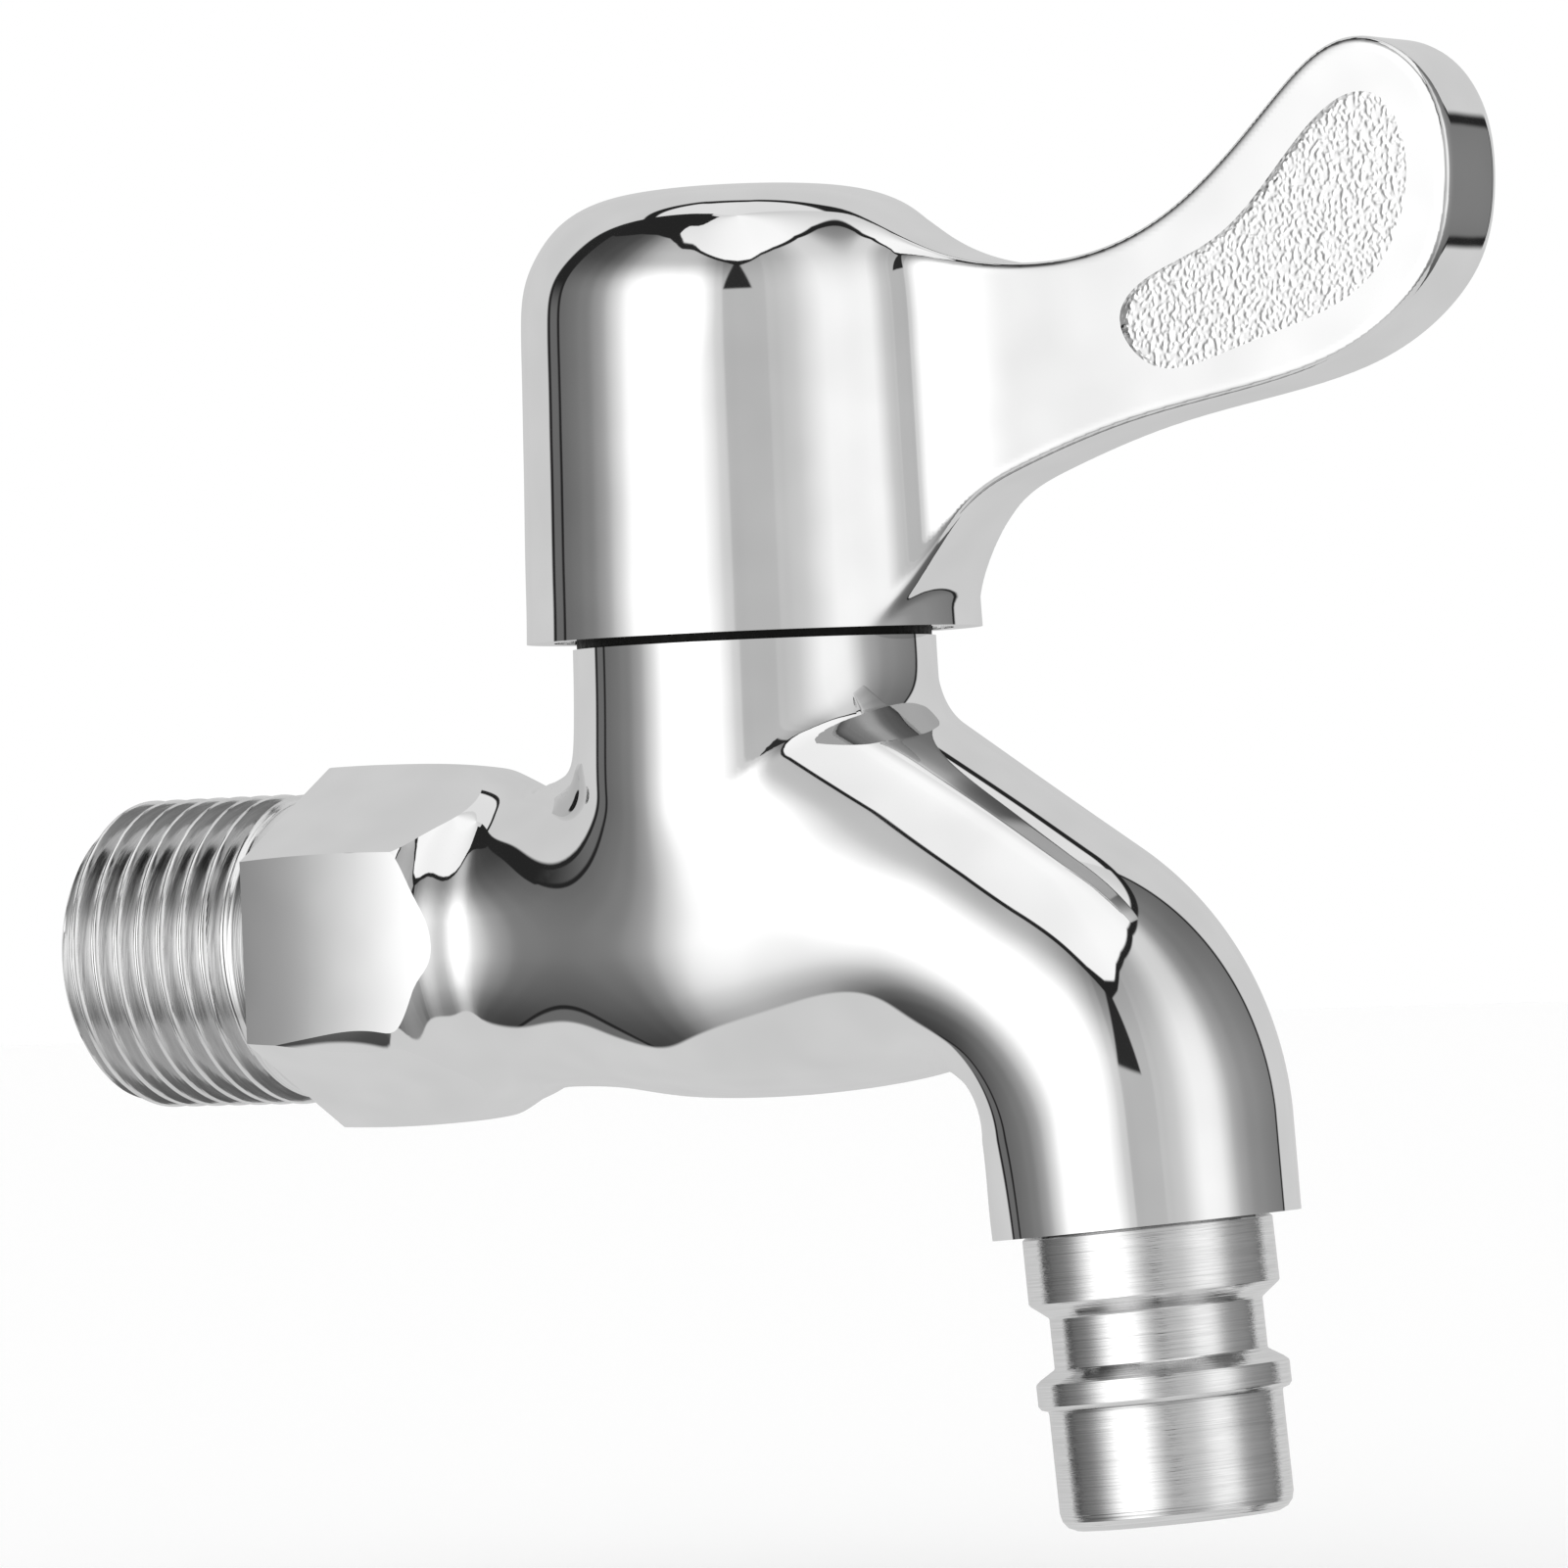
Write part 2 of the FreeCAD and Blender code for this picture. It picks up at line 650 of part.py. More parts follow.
def cap_cavity():
    # Room under the cap for the cartridge, with the boss for the spline bush left standing
    inner_low = cap_rim_radius - cap_wall
    inner_high = cap_shoulder_radius - cap_wall
    profile = [(0, cap_rim_z - 1), (inner_low, cap_rim_z - 1), (inner_high, cap_roof_z - 3.0),
               (inner_high - 3.0, cap_roof_z), (boss_radius, cap_roof_z), (boss_radius, boss_bottom_z),
               (0, boss_bottom_z)]
    return ring_solid(profile)


def web_top():
    return spindle_top + bush_top_gap + boss_web_thickness


def lever_handle():
    form = handle_form().cut([recess_cutter(1), recess_cutter(-1), cap_cavity()])
    bush = cylinder(bush_radius + cover_clearance, spindle_top + bush_top_gap - boss_bottom_z + 1,
                    SPINDLE + Z_AXIS * (boss_bottom_z - 1))
    hole = cylinder(screw_radius + 0.2, 20, SPINDLE + Z_AXIS * boss_bottom_z)
    well = cylinder(screw_head_radius + 0.5, 20, SPINDLE + Z_AXIS * web_top())
    seat = cylinder(cover_radius + cover_clearance, 20, SPINDLE + Z_AXIS * (cap_top_z - cover_thickness))
    return form.cut([bush, hole, well, seat]).removeSplitter()


def spline_bush():
    low = boss_bottom_z
    high = spindle_top + 0.2
    body = cylinder(bush_radius, high - low, SPINDLE + Z_AXIS * low)
    teeth = spline_shape(spline_outer_radius + spline_clearance, spline_inner_radius + spline_clearance, low - 1, high + 1)
    return body.cut(teeth)


def spring_washer():
    low = web_top()
    ring = tube(screw_head_radius - 0.1, screw_radius + 0.1, low, low + spring_washer_thickness)
    gap = sector(0.5, screw_head_radius + 1, -spring_washer_gap / 2, spring_washer_gap, low - 1, low + 2)
    return ring.cut(gap)


def handle_screw():
    # Pan head with a cross recess, over a plain shank
    low = web_top() + spring_washer_thickness
    high = low + screw_head_height
    tip = spindle_top - screw_length + 0.5
    profile = [(0, tip), (screw_radius - 0.4, tip), (screw_radius, tip + 0.4), (screw_radius, low),
               (screw_head_radius, low), (screw_head_radius, low + 0.5 * screw_head_height),
               (0.8 * screw_head_radius, low + 0.85 * screw_head_height),
               (0.45 * screw_head_radius, high), (0, high)]
    body = ring_solid(profile)
    arm = 0.55 * screw_head_radius
    for turn in (0, 90):
        slot = Part.makeBox(2 * arm, 0.7, 2.0, Vector(spindle_x - arm, -0.35, high - 1.3))
        slot.rotate(SPINDLE, Z_AXIS, turn)
        body = body.cut(slot)
    return body


def screw_cover():
    # Flush disc in the crown, with its underside hollowed
    low = cap_top_z - cover_thickness
    rise = cover_rise
    profile = [(0, low + 0.5 * cover_thickness), (0.8 * cover_radius, low + 0.5 * cover_thickness),
               (0.8 * cover_radius, low), (cover_radius, low), (cover_radius, cap_top_z - rise),
               (0.5 * cover_radius, cap_top_z - 0.3 * rise), (0, cap_top_z)]
    return ring_solid(profile)


def build():
    low_ring, high_ring = ring_groove_levels()
    return {
        "tap_body": tap_body(),
        "outlet_nipple": outlet_nipple(),
        "nipple_washer": nipple_washer(),
        "cartridge_housing": cartridge_housing(),
        "cartridge_gasket": cartridge_gasket(),
        "seat_seal": seat_seal(),
        "fixed_disc": fixed_disc(),
        "moving_disc": moving_disc(),
        "spindle": spindle(),
        "spindle_ring_lower": o_ring(low_ring),
        "spindle_ring_upper": o_ring(high_ring),
        "thrust_washer": thrust_washer(),
        "circlip": circlip(),
        "lever_handle": lever_handle(),
        "spline_bush": spline_bush(),
        "spring_washer": spring_washer(),
        "handle_screw": handle_screw(),
        "screw_cover": screw_cover(),
    }


os.makedirs("parts", exist_ok=True)
for name, shape in build().items():
    if not shape.isValid() or len(shape.Solids) != 1:
        raise ValueError("%s is not one sound solid" % name)
    shape.exportStep("parts/%s.step" % name)
    box = shape.BoundBox
    print("%-20s volume %9.2f  x %.2f..%.2f  y %.2f..%.2f  z %.2f..%.2f" % (
        name, shape.Volume, box.XMin, box.XMax, box.YMin, box.YMax, box.ZMin, box.ZMax))
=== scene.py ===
import bmesh
import bpy
import math
import numpy as np
import openvdb as vdb
from mathutils import Matrix, Vector


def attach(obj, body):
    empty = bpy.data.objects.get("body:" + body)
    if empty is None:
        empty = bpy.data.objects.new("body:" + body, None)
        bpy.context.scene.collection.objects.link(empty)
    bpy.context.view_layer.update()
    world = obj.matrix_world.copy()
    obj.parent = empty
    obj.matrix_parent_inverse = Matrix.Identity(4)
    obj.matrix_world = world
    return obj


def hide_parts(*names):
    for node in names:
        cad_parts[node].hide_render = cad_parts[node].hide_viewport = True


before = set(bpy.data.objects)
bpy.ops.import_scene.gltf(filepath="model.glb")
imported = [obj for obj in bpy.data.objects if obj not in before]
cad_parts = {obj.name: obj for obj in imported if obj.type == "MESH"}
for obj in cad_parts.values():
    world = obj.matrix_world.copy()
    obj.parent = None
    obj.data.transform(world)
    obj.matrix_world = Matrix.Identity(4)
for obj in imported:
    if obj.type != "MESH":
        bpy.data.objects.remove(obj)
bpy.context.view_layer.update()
mm = 0.001
print("frame loaded")


# Helpers
def hexColor(code):
    # sRGB hex value to linear colour
    parts = [int(code[i:i + 2], 16) / 255 for i in (1, 3, 5)]
    return [p / 12.92 if p <= 0.04045 else ((p + 0.055) / 1.055) ** 2.4 for p in parts] + [1.0]


def addNode(tree, kind, feeds=None, **settings):
    # feeds: socket name or number -> a value, or the socket that drives it
    node = tree.nodes.new(kind)
    for key, value in settings.items():
        setattr(node, key, value)
    for key, value in (feeds or {}).items():
        if isinstance(value, bpy.types.NodeSocket):
            tree.links.new(value, node.inputs[key])
        else:
            node.inputs[key].default_value = value
    return node


def newMaterial(name):
    material = bpy.data.materials.new(name)
    material.use_nodes = True
    tree = material.node_tree
    tree.nodes.clear()
    shader = addNode(tree, "ShaderNodeBsdfPrincipled")
    addNode(tree, "ShaderNodeOutputMaterial", {"Surface": shader.outputs[0]})
    return material, tree, shader


def meshOf(name, points, faces):
    # Object from points in mm
    mesh = bpy.data.meshes.new(name)
    mesh.from_pydata((np.asarray(points) * mm).tolist(), [], [list(map(int, f)) for f in faces])
    mesh.validate()
    item = bpy.data.objects.new(name, mesh)
    bpy.context.scene.collection.objects.link(item)
    return item


def maths(tree, value, *steps):
    # Feeds each result into the next operation as its first value
    for operation, *others in steps:
        feeds = dict(enumerate([value, *others]))
        value = addNode(tree, "ShaderNodeMath", feeds, operation=operation).outputs[0]
    return value


def softStep(tree, value, low, high):
    # 0 below low, 1 above high, soft in between
    return addNode(tree, "ShaderNodeMapRange", {0: value, 1: low, 2: high, 3: 0.0, 4: 1.0},
                   interpolation_type="SMOOTHSTEP").outputs[0]


def ramp(tree, value, stops, smooth="CARDINAL"):
    # Runs the value through a list of (place, level); levels may pass 1
    low, high = stops[0][0], stops[-1][0]
    top = max(level for place, level in stops)
    share = addNode(tree, "ShaderNodeMapRange", {0: value, 1: low, 2: high, 3: 0.0, 4: 1.0}).outputs[0]
    node = addNode(tree, "ShaderNodeValToRGB", {0: share})
    node.color_ramp.interpolation = smooth
    spots = node.color_ramp.elements
    while len(spots) < len(stops):
        spots.new(0.5)
    for spot, (place, level) in zip(spots, stops):
        spot.position = (place - low) / (high - low)
        spot.color = [level / top] * 3 + [1]
    return maths(tree, node.outputs[0], ("MULTIPLY", top))


def mixed(tree, share, first, second):
    return addNode(tree, "ShaderNodeMix", {0: share, 2: first, 3: second}, data_type="FLOAT").outputs[0]


def noiseAt(tree, place, scale, detail, roughness):
    feeds = {"Vector": place, "Scale": scale, "Detail": detail, "Roughness": roughness}
    return addNode(tree, "ShaderNodeTexNoise", feeds).outputs[0]


def between(low, high, share):
    return low + (high - low) * share


def unit(vectors):
    return vectors / np.linalg.norm(vectors, axis=1, keepdims=True)


def gridOf(axes):
    return np.stack(np.meshgrid(*axes, indexing="ij"), -1)


# Camera, from the thread, the cap's rim and the nipple in the picture
view = {"azimuth": 33.484, "pitch": 0.314, "roll": -2.44, "distance": 574.185,
        "focalPixels": 9000.0, "pictureWidth": 1601, "aim": (52.879, 0.0, 9.629)}


def makeCamera():
    turn, pitch, roll = [math.radians(view[k]) for k in ("azimuth", "pitch", "roll")]
    forward = Vector((-math.sin(turn) * math.cos(pitch), math.cos(turn) * math.cos(pitch), math.sin(pitch)))
    right = Vector((math.cos(turn), math.sin(turn), 0))
    up = right.cross(forward)
    place = Vector(view["aim"]) - forward * view["distance"]
    across = right * math.cos(roll) + up * math.sin(roll)
    above = up * math.cos(roll) - right * math.sin(roll)
    data = bpy.data.cameras.new("camera")
    data.sensor_width = 36
    data.lens = data.sensor_width * view["focalPixels"] / view["pictureWidth"]
    data.clip_start, data.clip_end = 0.01, 20
    camera = bpy.data.objects.new("camera", data)
    bpy.context.scene.collection.objects.link(camera)
    facing = Matrix((across, above, -forward)).transposed().to_4x4()
    camera.matrix_world = Matrix.Translation(place * mm) @ facing
    bpy.context.scene.camera = camera


makeCamera()


# Studio: what the chrome reflects, by heading and height in degrees as seen from the tap
studio = {
    "towardCamera": 33.484,          # heading of the camera side, degrees from -Y towards +X
    "black": 0.03, "dark": 0.22, "topLight": 1.2,
    # brightness of the left and the right box, from side to side and from foot to top
    "leftAcross": [(-125, .2), (-105, .24), (-95, .3), (-85, .4), (-75, .75), (-65, 1.45), (-55, 2.1),
                   (-38, 2.4), (-25, 1.9), (-15, 1.2), (-9.5, .95), (-8.5, .77), (0, .76)],
    "leftUp": [(-60, .3), (-40, .36), (-28, .62), (-12, .9), (0, 1), (15, 1), (25, .75), (36, .42), (50, .33),
               (70, .3)],
    "rightAcross": [(0, .76), (13, .78), (14, .85), (20, .87), (30, 1.05), (42, 1.45), (52, 1.5), (62, 1.3),
                    (72, .75), (85, .48), (100, .4), (118, .32), (125, .3)],
    "rightUp": [(-60, .4), (-35, .5), (-15, .9), (0, 1), (20, .95), (40, .75), (70, .7)],
    # black gap over the camera: its middle, half its width, its foot and how fast it narrows upwards
    "gapMiddle": -1, "gapHalf": 8, "gapFoot": 14, "gapNarrows": 0.3, "gapLevel": 0.039,
    # by heading: height of the boxes' top edge, width of the black line over it, the light above that line
    "edge": [(-130, 45), (-107, 49), (-90, 57), (-67, 62), (-50, 57), (-34, 49), (-20, 43), (-7, 37), (0, 33),
             (7, 37), (15, 44), (25, 49), (50, 57), (77, 60), (100, 60), (130, 60)],
    "lineWide": [(-130, 34), (-90, 26), (-75, 19), (-65, 11), (-58, 5), (-35, 2), (-8, 2.5), (0, 5), (8, 2),
                 (60, 2), (130, 2)],
    "overLine": [(-130, 1), (-60, 1.25), (0, 1.5), (40, 1.55), (100, 1.15), (130, 1)],
    # the left box's frame is dark grey between two black lines, and the right box ends in one black line
    "stripes": [(-109.5, -110.5, "line"), (-111.5, -113, "frame"), (-118.5, -119.5, "line"),
                (120.5, 121.5, "line")],
    # backdrop and floor begin past these two headings and below this height
    "leftEnd": -122, "rightEnd": 123.5, "floorTop": -46, "cornerRound": 45,
    # the backdrop is darker towards its middle, by degrees away from it, straight behind the tap
    "backdrop": [(0, 0.57), (8, 0.65), (15, 0.73), (30, 0.85), (60, 0.97), (70, 0.97)],
    # over the backdrop comes a black line, and above that the top light
    "lineFoot": 60, "lineTop": 64,
    # sheet of white paper under the tap
    "paperHalf": 1500, "paperZ": -45,
}


def makeWorld():
    world = bpy.data.worlds.new("studio")
    bpy.context.scene.world = world
    world.use_nodes = True
    tree = world.node_tree
    tree.nodes.clear()
    inDegrees = ("MULTIPLY", 180 / math.pi)
    direction = addNode(tree, "ShaderNodeTexCoord").outputs["Generated"]
    feeds = {"Vector": direction, "Angle": math.radians(-studio["towardCamera"])}
    facing = addNode(tree, "ShaderNodeVectorRotate", feeds, rotation_type="Z_AXIS").outputs[0]
    parts = addNode(tree, "ShaderNodeSeparateXYZ", {0: facing}).outputs
    # heading: 0 towards the camera, positive to its right
    toward = maths(tree, parts[1], ("MULTIPLY", -1))
    heading = maths(tree, parts[0], ("ARCTAN2", toward), inDegrees)
    height = maths(tree, parts[2], ("ARCSINE",), inDegrees)
    boxes = []
    for side in ("left", "right"):
        up = ramp(tree, height, studio[side + "Up"])
        boxes.append(maths(tree, ramp(tree, heading, studio[side + "Across"]), ("MULTIPLY", up)))
    # all edges between these lights are soft, over one to six degrees
    sides = mixed(tree, softStep(tree, heading, -3, 3), *boxes)
    # gap over the camera, from its foot up, narrower towards its top
    half, foot = studio["gapHalf"], studio["gapFoot"]
    fromMiddle = maths(tree, heading, ("SUBTRACT", studio["gapMiddle"]), ("ABSOLUTE",))
    lost = maths(tree, height, ("SUBTRACT", foot + 2), ("MULTIPLY", studio["gapNarrows"]))
    inWidth = softStep(tree, maths(tree, fromMiddle, ("ADD", lost)), half, half - 1.5)
    wedge = maths(tree, inWidth, ("MULTIPLY", softStep(tree, height, foot, foot + 1.5)))
    sides = mixed(tree, wedge, sides, studio["gapLevel"])
    # top edge of the boxes, the black line over it and the light above
    above = maths(tree, height, ("SUBTRACT", ramp(tree, heading, studio["edge"], "LINEAR")))
    lineWide = ramp(tree, heading, studio["lineWide"], "LINEAR")
    pastLine = softStep(tree, above, lineWide, maths(tree, lineWide, ("ADD", 1.0)))
    aboveBox = mixed(tree, pastLine, studio["black"], ramp(tree, heading, studio["overLine"]))
    front = mixed(tree, softStep(tree, above, -0.4, 0.4), sides, aboveBox)
    # the frame of the left box turns black towards its top
    frameLevel = mixed(tree, softStep(tree, height, 5, 20), studio["dark"], studio["black"])
    levels = {"line": studio["black"], "frame": frameLevel}
    for start, end, name in studio["stripes"]:
        front = mixed(tree, softStep(tree, heading, start, end), front, levels[name])
    # backdrop and floor run together round the lower corner of the left box
    pastLeft = maths(tree, studio["leftEnd"], ("SUBTRACT", heading))
    pastRight = maths(tree, heading, ("SUBTRACT", studio["rightEnd"]))
    under = maths(tree, studio["floorTop"], ("SUBTRACT", height))
    outside = maths(tree, pastLeft, ("SMOOTH_MAX", under, studio["cornerRound"]), ("MAXIMUM", pastRight))
    behind = softStep(tree, outside, -1, 1)
    off = maths(tree, parts[1], ("ARCCOSINE",), inDegrees)
    level = mixed(tree, behind, front, ramp(tree, off, studio["backdrop"]))
    for name, closing in (("lineFoot", "black"), ("lineTop", "topLight")):
        over = softStep(tree, height, studio[name] - 0.5, studio[name] + 0.5)
        level = mixed(tree, over, level, mixed(tree, behind, aboveBox, studio[closing]))
    # only reflections see the studio, everything else is lit by plain white
    glossy = addNode(tree, "ShaderNodeBackground", {"Color": (1, 1, 1, 1), "Strength": level}).outputs[0]
    plain = addNode(tree, "ShaderNodeBackground", {"Color": hexColor("#ffffff"), "Strength": 1.0}).outputs[0]
    rays = addNode(tree, "ShaderNodeLightPath").outputs
    mix = addNode(tree, "ShaderNodeMixShader", {0: rays["Is Glossy Ray"], 1: plain, 2: glossy})
    addNode(tree, "ShaderNodeOutputWorld", {0: mix.outputs[0]})


def makeFloor():
    half, low = studio["paperHalf"], studio["paperZ"]
    corners = [(-half, -half, low), (half, -half, low), (half, half, low), (-half, half, low)]
    floor = meshOf("floor", corners, [(0, 1, 2, 3)])
    floor.visible_glossy = False
    material, tree, shader = newMaterial("whitePaperFloor")
    shader.inputs["Base Color"].default_value = hexColor("#ffffff")
    shader.inputs["Roughness"].default_value = 0.9
    floor.data.materials.append(material)


makeWorld()
makeFloor()
bpy.context.scene.view_settings.view_transform = "Standard"
print("camera and studio ready")


# Forms: each takes points in mm and gives their distance outside the metal and its slope
def smoothUnion(first, second, size):
    # Two forms run together with a soft inside corner
    (valueA, slopeA), (valueB, slopeB) = first, second
    share = np.clip(1 - np.abs(valueA - valueB) / size, 0, None)
    pull = (share ** 2 / 2)[:, None]
    slope = np.where((valueA < valueB)[:, None],
                     slopeA + pull * (slopeB - slopeA), slopeB + pull * (slopeA - slopeB))
    return np.minimum(valueA, valueB) - share ** 3 * size / 6, slope


def smoothCut(first, second, size):
    # What both forms share, with the edge between them rounded
    value, slope = smoothUnion((-first[0], -first[1]), (-second[0], -second[1]), size)
    return -value, -slope


def castUnion(first, second, radius, least=0.02):
    # Inside corner as a casting has it: the radius given where the forms meet square on,
    # and no more than the least blend where they only run along each other
    lengths = np.maximum(np.linalg.norm(first[1], axis=1) * np.linalg.norm(second[1], axis=1), 1e-9)
    lean = np.clip((first[1] * second[1]).sum(1) / lengths, -0.3, 1)
    widest = 10
    size = np.minimum(6 * radius * (1 - np.sqrt((1 + lean) / 2)), widest) + least
    return smoothUnion(first, second, size)


def ease(value, low, high):
    # 0 below low, 1 above high, soft in between
    t = np.clip((value - low) / (high - low), 0, 1)
    return t * t * (3 - 2 * t)


def naturalSpline(places, values, wanted):
    # Smoothest line through the values, read at the places wanted
    steps, count = np.diff(places), len(places)
    system, right = np.eye(count), np.zeros(count)
    for k in range(1, count - 1):
        system[k, k - 1:k + 2] = steps[k - 1], 2 * (steps[k - 1] + steps[k]), steps[k]
        right[k] = 6 * ((values[k + 1] - values[k]) / steps[k] - (values[k] - values[k - 1]) / steps[k - 1])
    bend = np.linalg.solve(system, right)
    slot = np.clip(np.searchsorted(places, wanted, side="right") - 1, 0, count - 2)
    width, low, high = steps[slot], values[slot], values[slot + 1]
    t = (wanted - places[slot]) / width
    return ((1 - t) * low + t * high
            + width ** 2 / 6 * (((1 - t) ** 3 - 1 + t) * bend[slot] + (t ** 3 - t) * bend[slot + 1]))


def smoothTable(pairs, soften, spacing=0.02):
    # Dense table of a smooth line through the pairs, softened over the width given
    places, sizes = np.array(pairs, float).T
    dense = np.arange(places[0], places[-1], spacing)
    line = naturalSpline(places, sizes, dense)
    reach = int(3 * soften / spacing)
    bell = np.exp(-0.5 * (np.arange(-reach, reach + 1) * spacing / soften) ** 2)
    before = line[0] - (line[1] - line[0]) * np.arange(reach, 0, -1)
    after = line[-1] + (line[-1] - line[-2]) * np.arange(1, reach + 1)
    line = np.convolve(np.concatenate([before, line, after]), bell / bell.sum(), "valid")
    return dense, line, np.gradient(line, spacing)


def readTable(table, place):
    dense, line, tilt = table
    return np.interp(place, dense, line), np.interp(place, dense, tilt)


def planeForm(points, normal, level):
    normal = np.array(normal, float)
    return points @ normal - level, np.broadcast_to(normal, points.shape)


def skinOf(form, low, high, step):
    # Mesh of the form's surface on a grid of the step given; only blocks near the surface are worked out
    low, high = np.array(low, float), np.array(high, float)
    block = 4
    blocks = np.ceil((high - low) / (step * block)).astype(int)
    middles = gridOf([np.arange(n) for n in blocks]).reshape(-1, 3)
    rough = form(low + (middles + 0.5) * block * step - 0.5 * step)[0]
    field = rough.reshape(blocks).astype(np.float32)
    for axis in range(3):
        field = np.repeat(field, block, axis)
    close = middles[np.abs(rough) < block * step * 1.5]
    inner = gridOf([np.arange(block)] * 3).reshape(-1, 3)
    for some in np.array_split(close, len(close) // 4000 + 1):
        cells = (some[:, None] * block + inner[None]).reshape(-1, 3)
        field[tuple(cells.T)] = form(low + cells * step)[0]
    grid = vdb.FloatGrid()
    grid.copyFromArray(np.clip(field, -2 * step, 2 * step))
    points, faces = grid.convertToQuads(isovalue=0.0)
    points = low + points * step
    # the points are drawn onto the surface along its slope
    for turn in range(4):
        value, slope = form(points)
        move = np.clip(value / np.maximum((slope ** 2).sum(1), 0.1), -step, step)
        points = points - move[:, None] * slope
    return np.nan_to_num(points), faces


def turned(name, profile, base, axis, segments=128):
    # Turned solid: profile is a run of (radius, height) pairs; it may start and end on the axis
    base, axis = np.array(base, float), np.array(axis, float) / np.linalg.norm(axis)
    side = np.cross(axis, (0, 1, 0)) if abs(axis[1]) < 0.9 else np.cross(axis, (1, 0, 0))
    side = side / np.linalg.norm(side)
    other = np.cross(axis, side)
    angles = np.linspace(0, 2 * math.pi, segments, endpoint=False)
    spokes = np.cos(angles)[:, None] * side + np.sin(angles)[:, None] * other
    rings, points = [], []
    for radius, height in profile:
        if radius < 1e-6:
            rings.append([len(points)] * segments)
            points.append(base + axis * height)
        else:
            rings.append(list(range(len(points), len(points) + segments)))
            points += list(base + axis * height + radius * spokes)
    if profile[0][0] > 0:
        rings.append(rings[0])
    faces = []
    for low, high in zip(rings, rings[1:]):
        for i in range(segments):
            j = (i + 1) % segments
            ring = [low[i], low[j], high[j], high[i]]
            ring = [v for k, v in enumerate(ring) if v != ring[k - 1]]
            if len(ring) > 2:
                faces.append(ring)
    return closedMesh(name, points, faces)


def closedMesh(name, points, faces):
    item = meshOf(name, points, faces)
    outward(item.data)
    return item


def outward(mesh):
    # Turns all faces to look outwards
    work = bmesh.new()
    work.from_mesh(mesh)
    bmesh.ops.recalc_face_normals(work, faces=work.faces)
    work.to_mesh(mesh)
    work.free()


def rod(start, end, radius, segments=64):
    start, end = np.array(start, float), np.array(end, float)
    length = np.linalg.norm(end - start)
    profile = [(0, 0), (radius, 0), (radius, length), (0, length)]
    return turned("cutter", profile, start, end - start, segments)


def ball(middle, radius):
    arc = [(radius * math.sin(a), -radius * math.cos(a)) for a in np.linspace(0, math.pi, 25)]
    return turned("cutter", arc, middle, (0, 0, 1), 48)


def prism(outline, low, high):
    # Cutter of a flat outline in x and z, from one y to another
    count = len(outline)
    points = [(x, y, z) for y in (low, high) for x, z in outline]
    faces = [tuple(range(count)), tuple(range(2 * count - 1, count - 1, -1))]
    faces += [(i, (i + 1) % count, count + (i + 1) % count, count + i) for i in range(count)]
    return closedMesh("cutter", points, faces)


def box(lowX, lowZ, highX, highZ, reach=30):
    return prism([(lowX, lowZ), (highX, lowZ), (highX, highZ), (lowX, highZ)], -reach, reach)


def carve(piece, cutters):
    for cutter in cutters:
        change = piece.modifiers.new("cut", "BOOLEAN")
        change.operation = "DIFFERENCE"
        change.solver = "MANIFOLD"
        change.object = cutter
        bake(piece)
        bpy.data.objects.remove(cutter)


def bake(piece):
    # Replaces the piece's mesh by what its modifiers make of it
    ready = bpy.data.meshes.new_from_object(piece.evaluated_get(bpy.context.evaluated_depsgraph_get()))
    piece.modifiers.clear()
    piece.data = ready


def readMesh(mesh):
    # Vertex places, vertex and face of each corner, slopes and middles of the faces, all in mm
    def read(items, field, width, kind=float):
        values = np.empty(len(items) * width, kind)
        items.foreach_get(field, values)
        return values
    spots = read(mesh.vertices, "co", 3).reshape(-1, 3) / mm
    corners = read(mesh.loops, "vertex_index", 1, int)
    totals = read(mesh.polygons, "loop_total", 1, int)
    normals = read(mesh.polygons, "normal", 3).reshape(-1, 3)
    middles = read(mesh.polygons, "center", 3).reshape(-1, 3) / mm
    return spots, corners, np.repeat(np.arange(len(totals)), totals), normals, middles


def shadeSmooth(piece, sharpFrom=None):
    # Smooth shading; edges sharper than the angle stay crisp
    piece.data.polygons.foreach_set("use_smooth", [True] * len(piece.data.polygons))
    if sharpFrom:
        piece.data.set_sharp_from_angle(angle=math.radians(sharpFrom))


def polish(piece, forms):
    # A face on a form and along it is shaded by the form it follows best; cut faces stay flat and crisp
    onForm, alongForm = 0.03, 0.8
    spots, corners, owner, normals, middles = readMesh(piece.data)
    shade = normals[owner]
    best = np.full(len(normals), alongForm)
    for form in forms:
        value, slope = form(middles)
        likeness = np.where(np.abs(value) < onForm, (unit(slope) * normals).sum(1), 0)
        better = likeness > best
        best = np.maximum(best, likeness)
        bend = unit(form(spots)[1])
        shade = np.where(better[owner][:, None], bend[corners], shade)
    shadeSmooth(piece)
    piece.data.normals_split_custom_set(shade.tolist())
    return middles


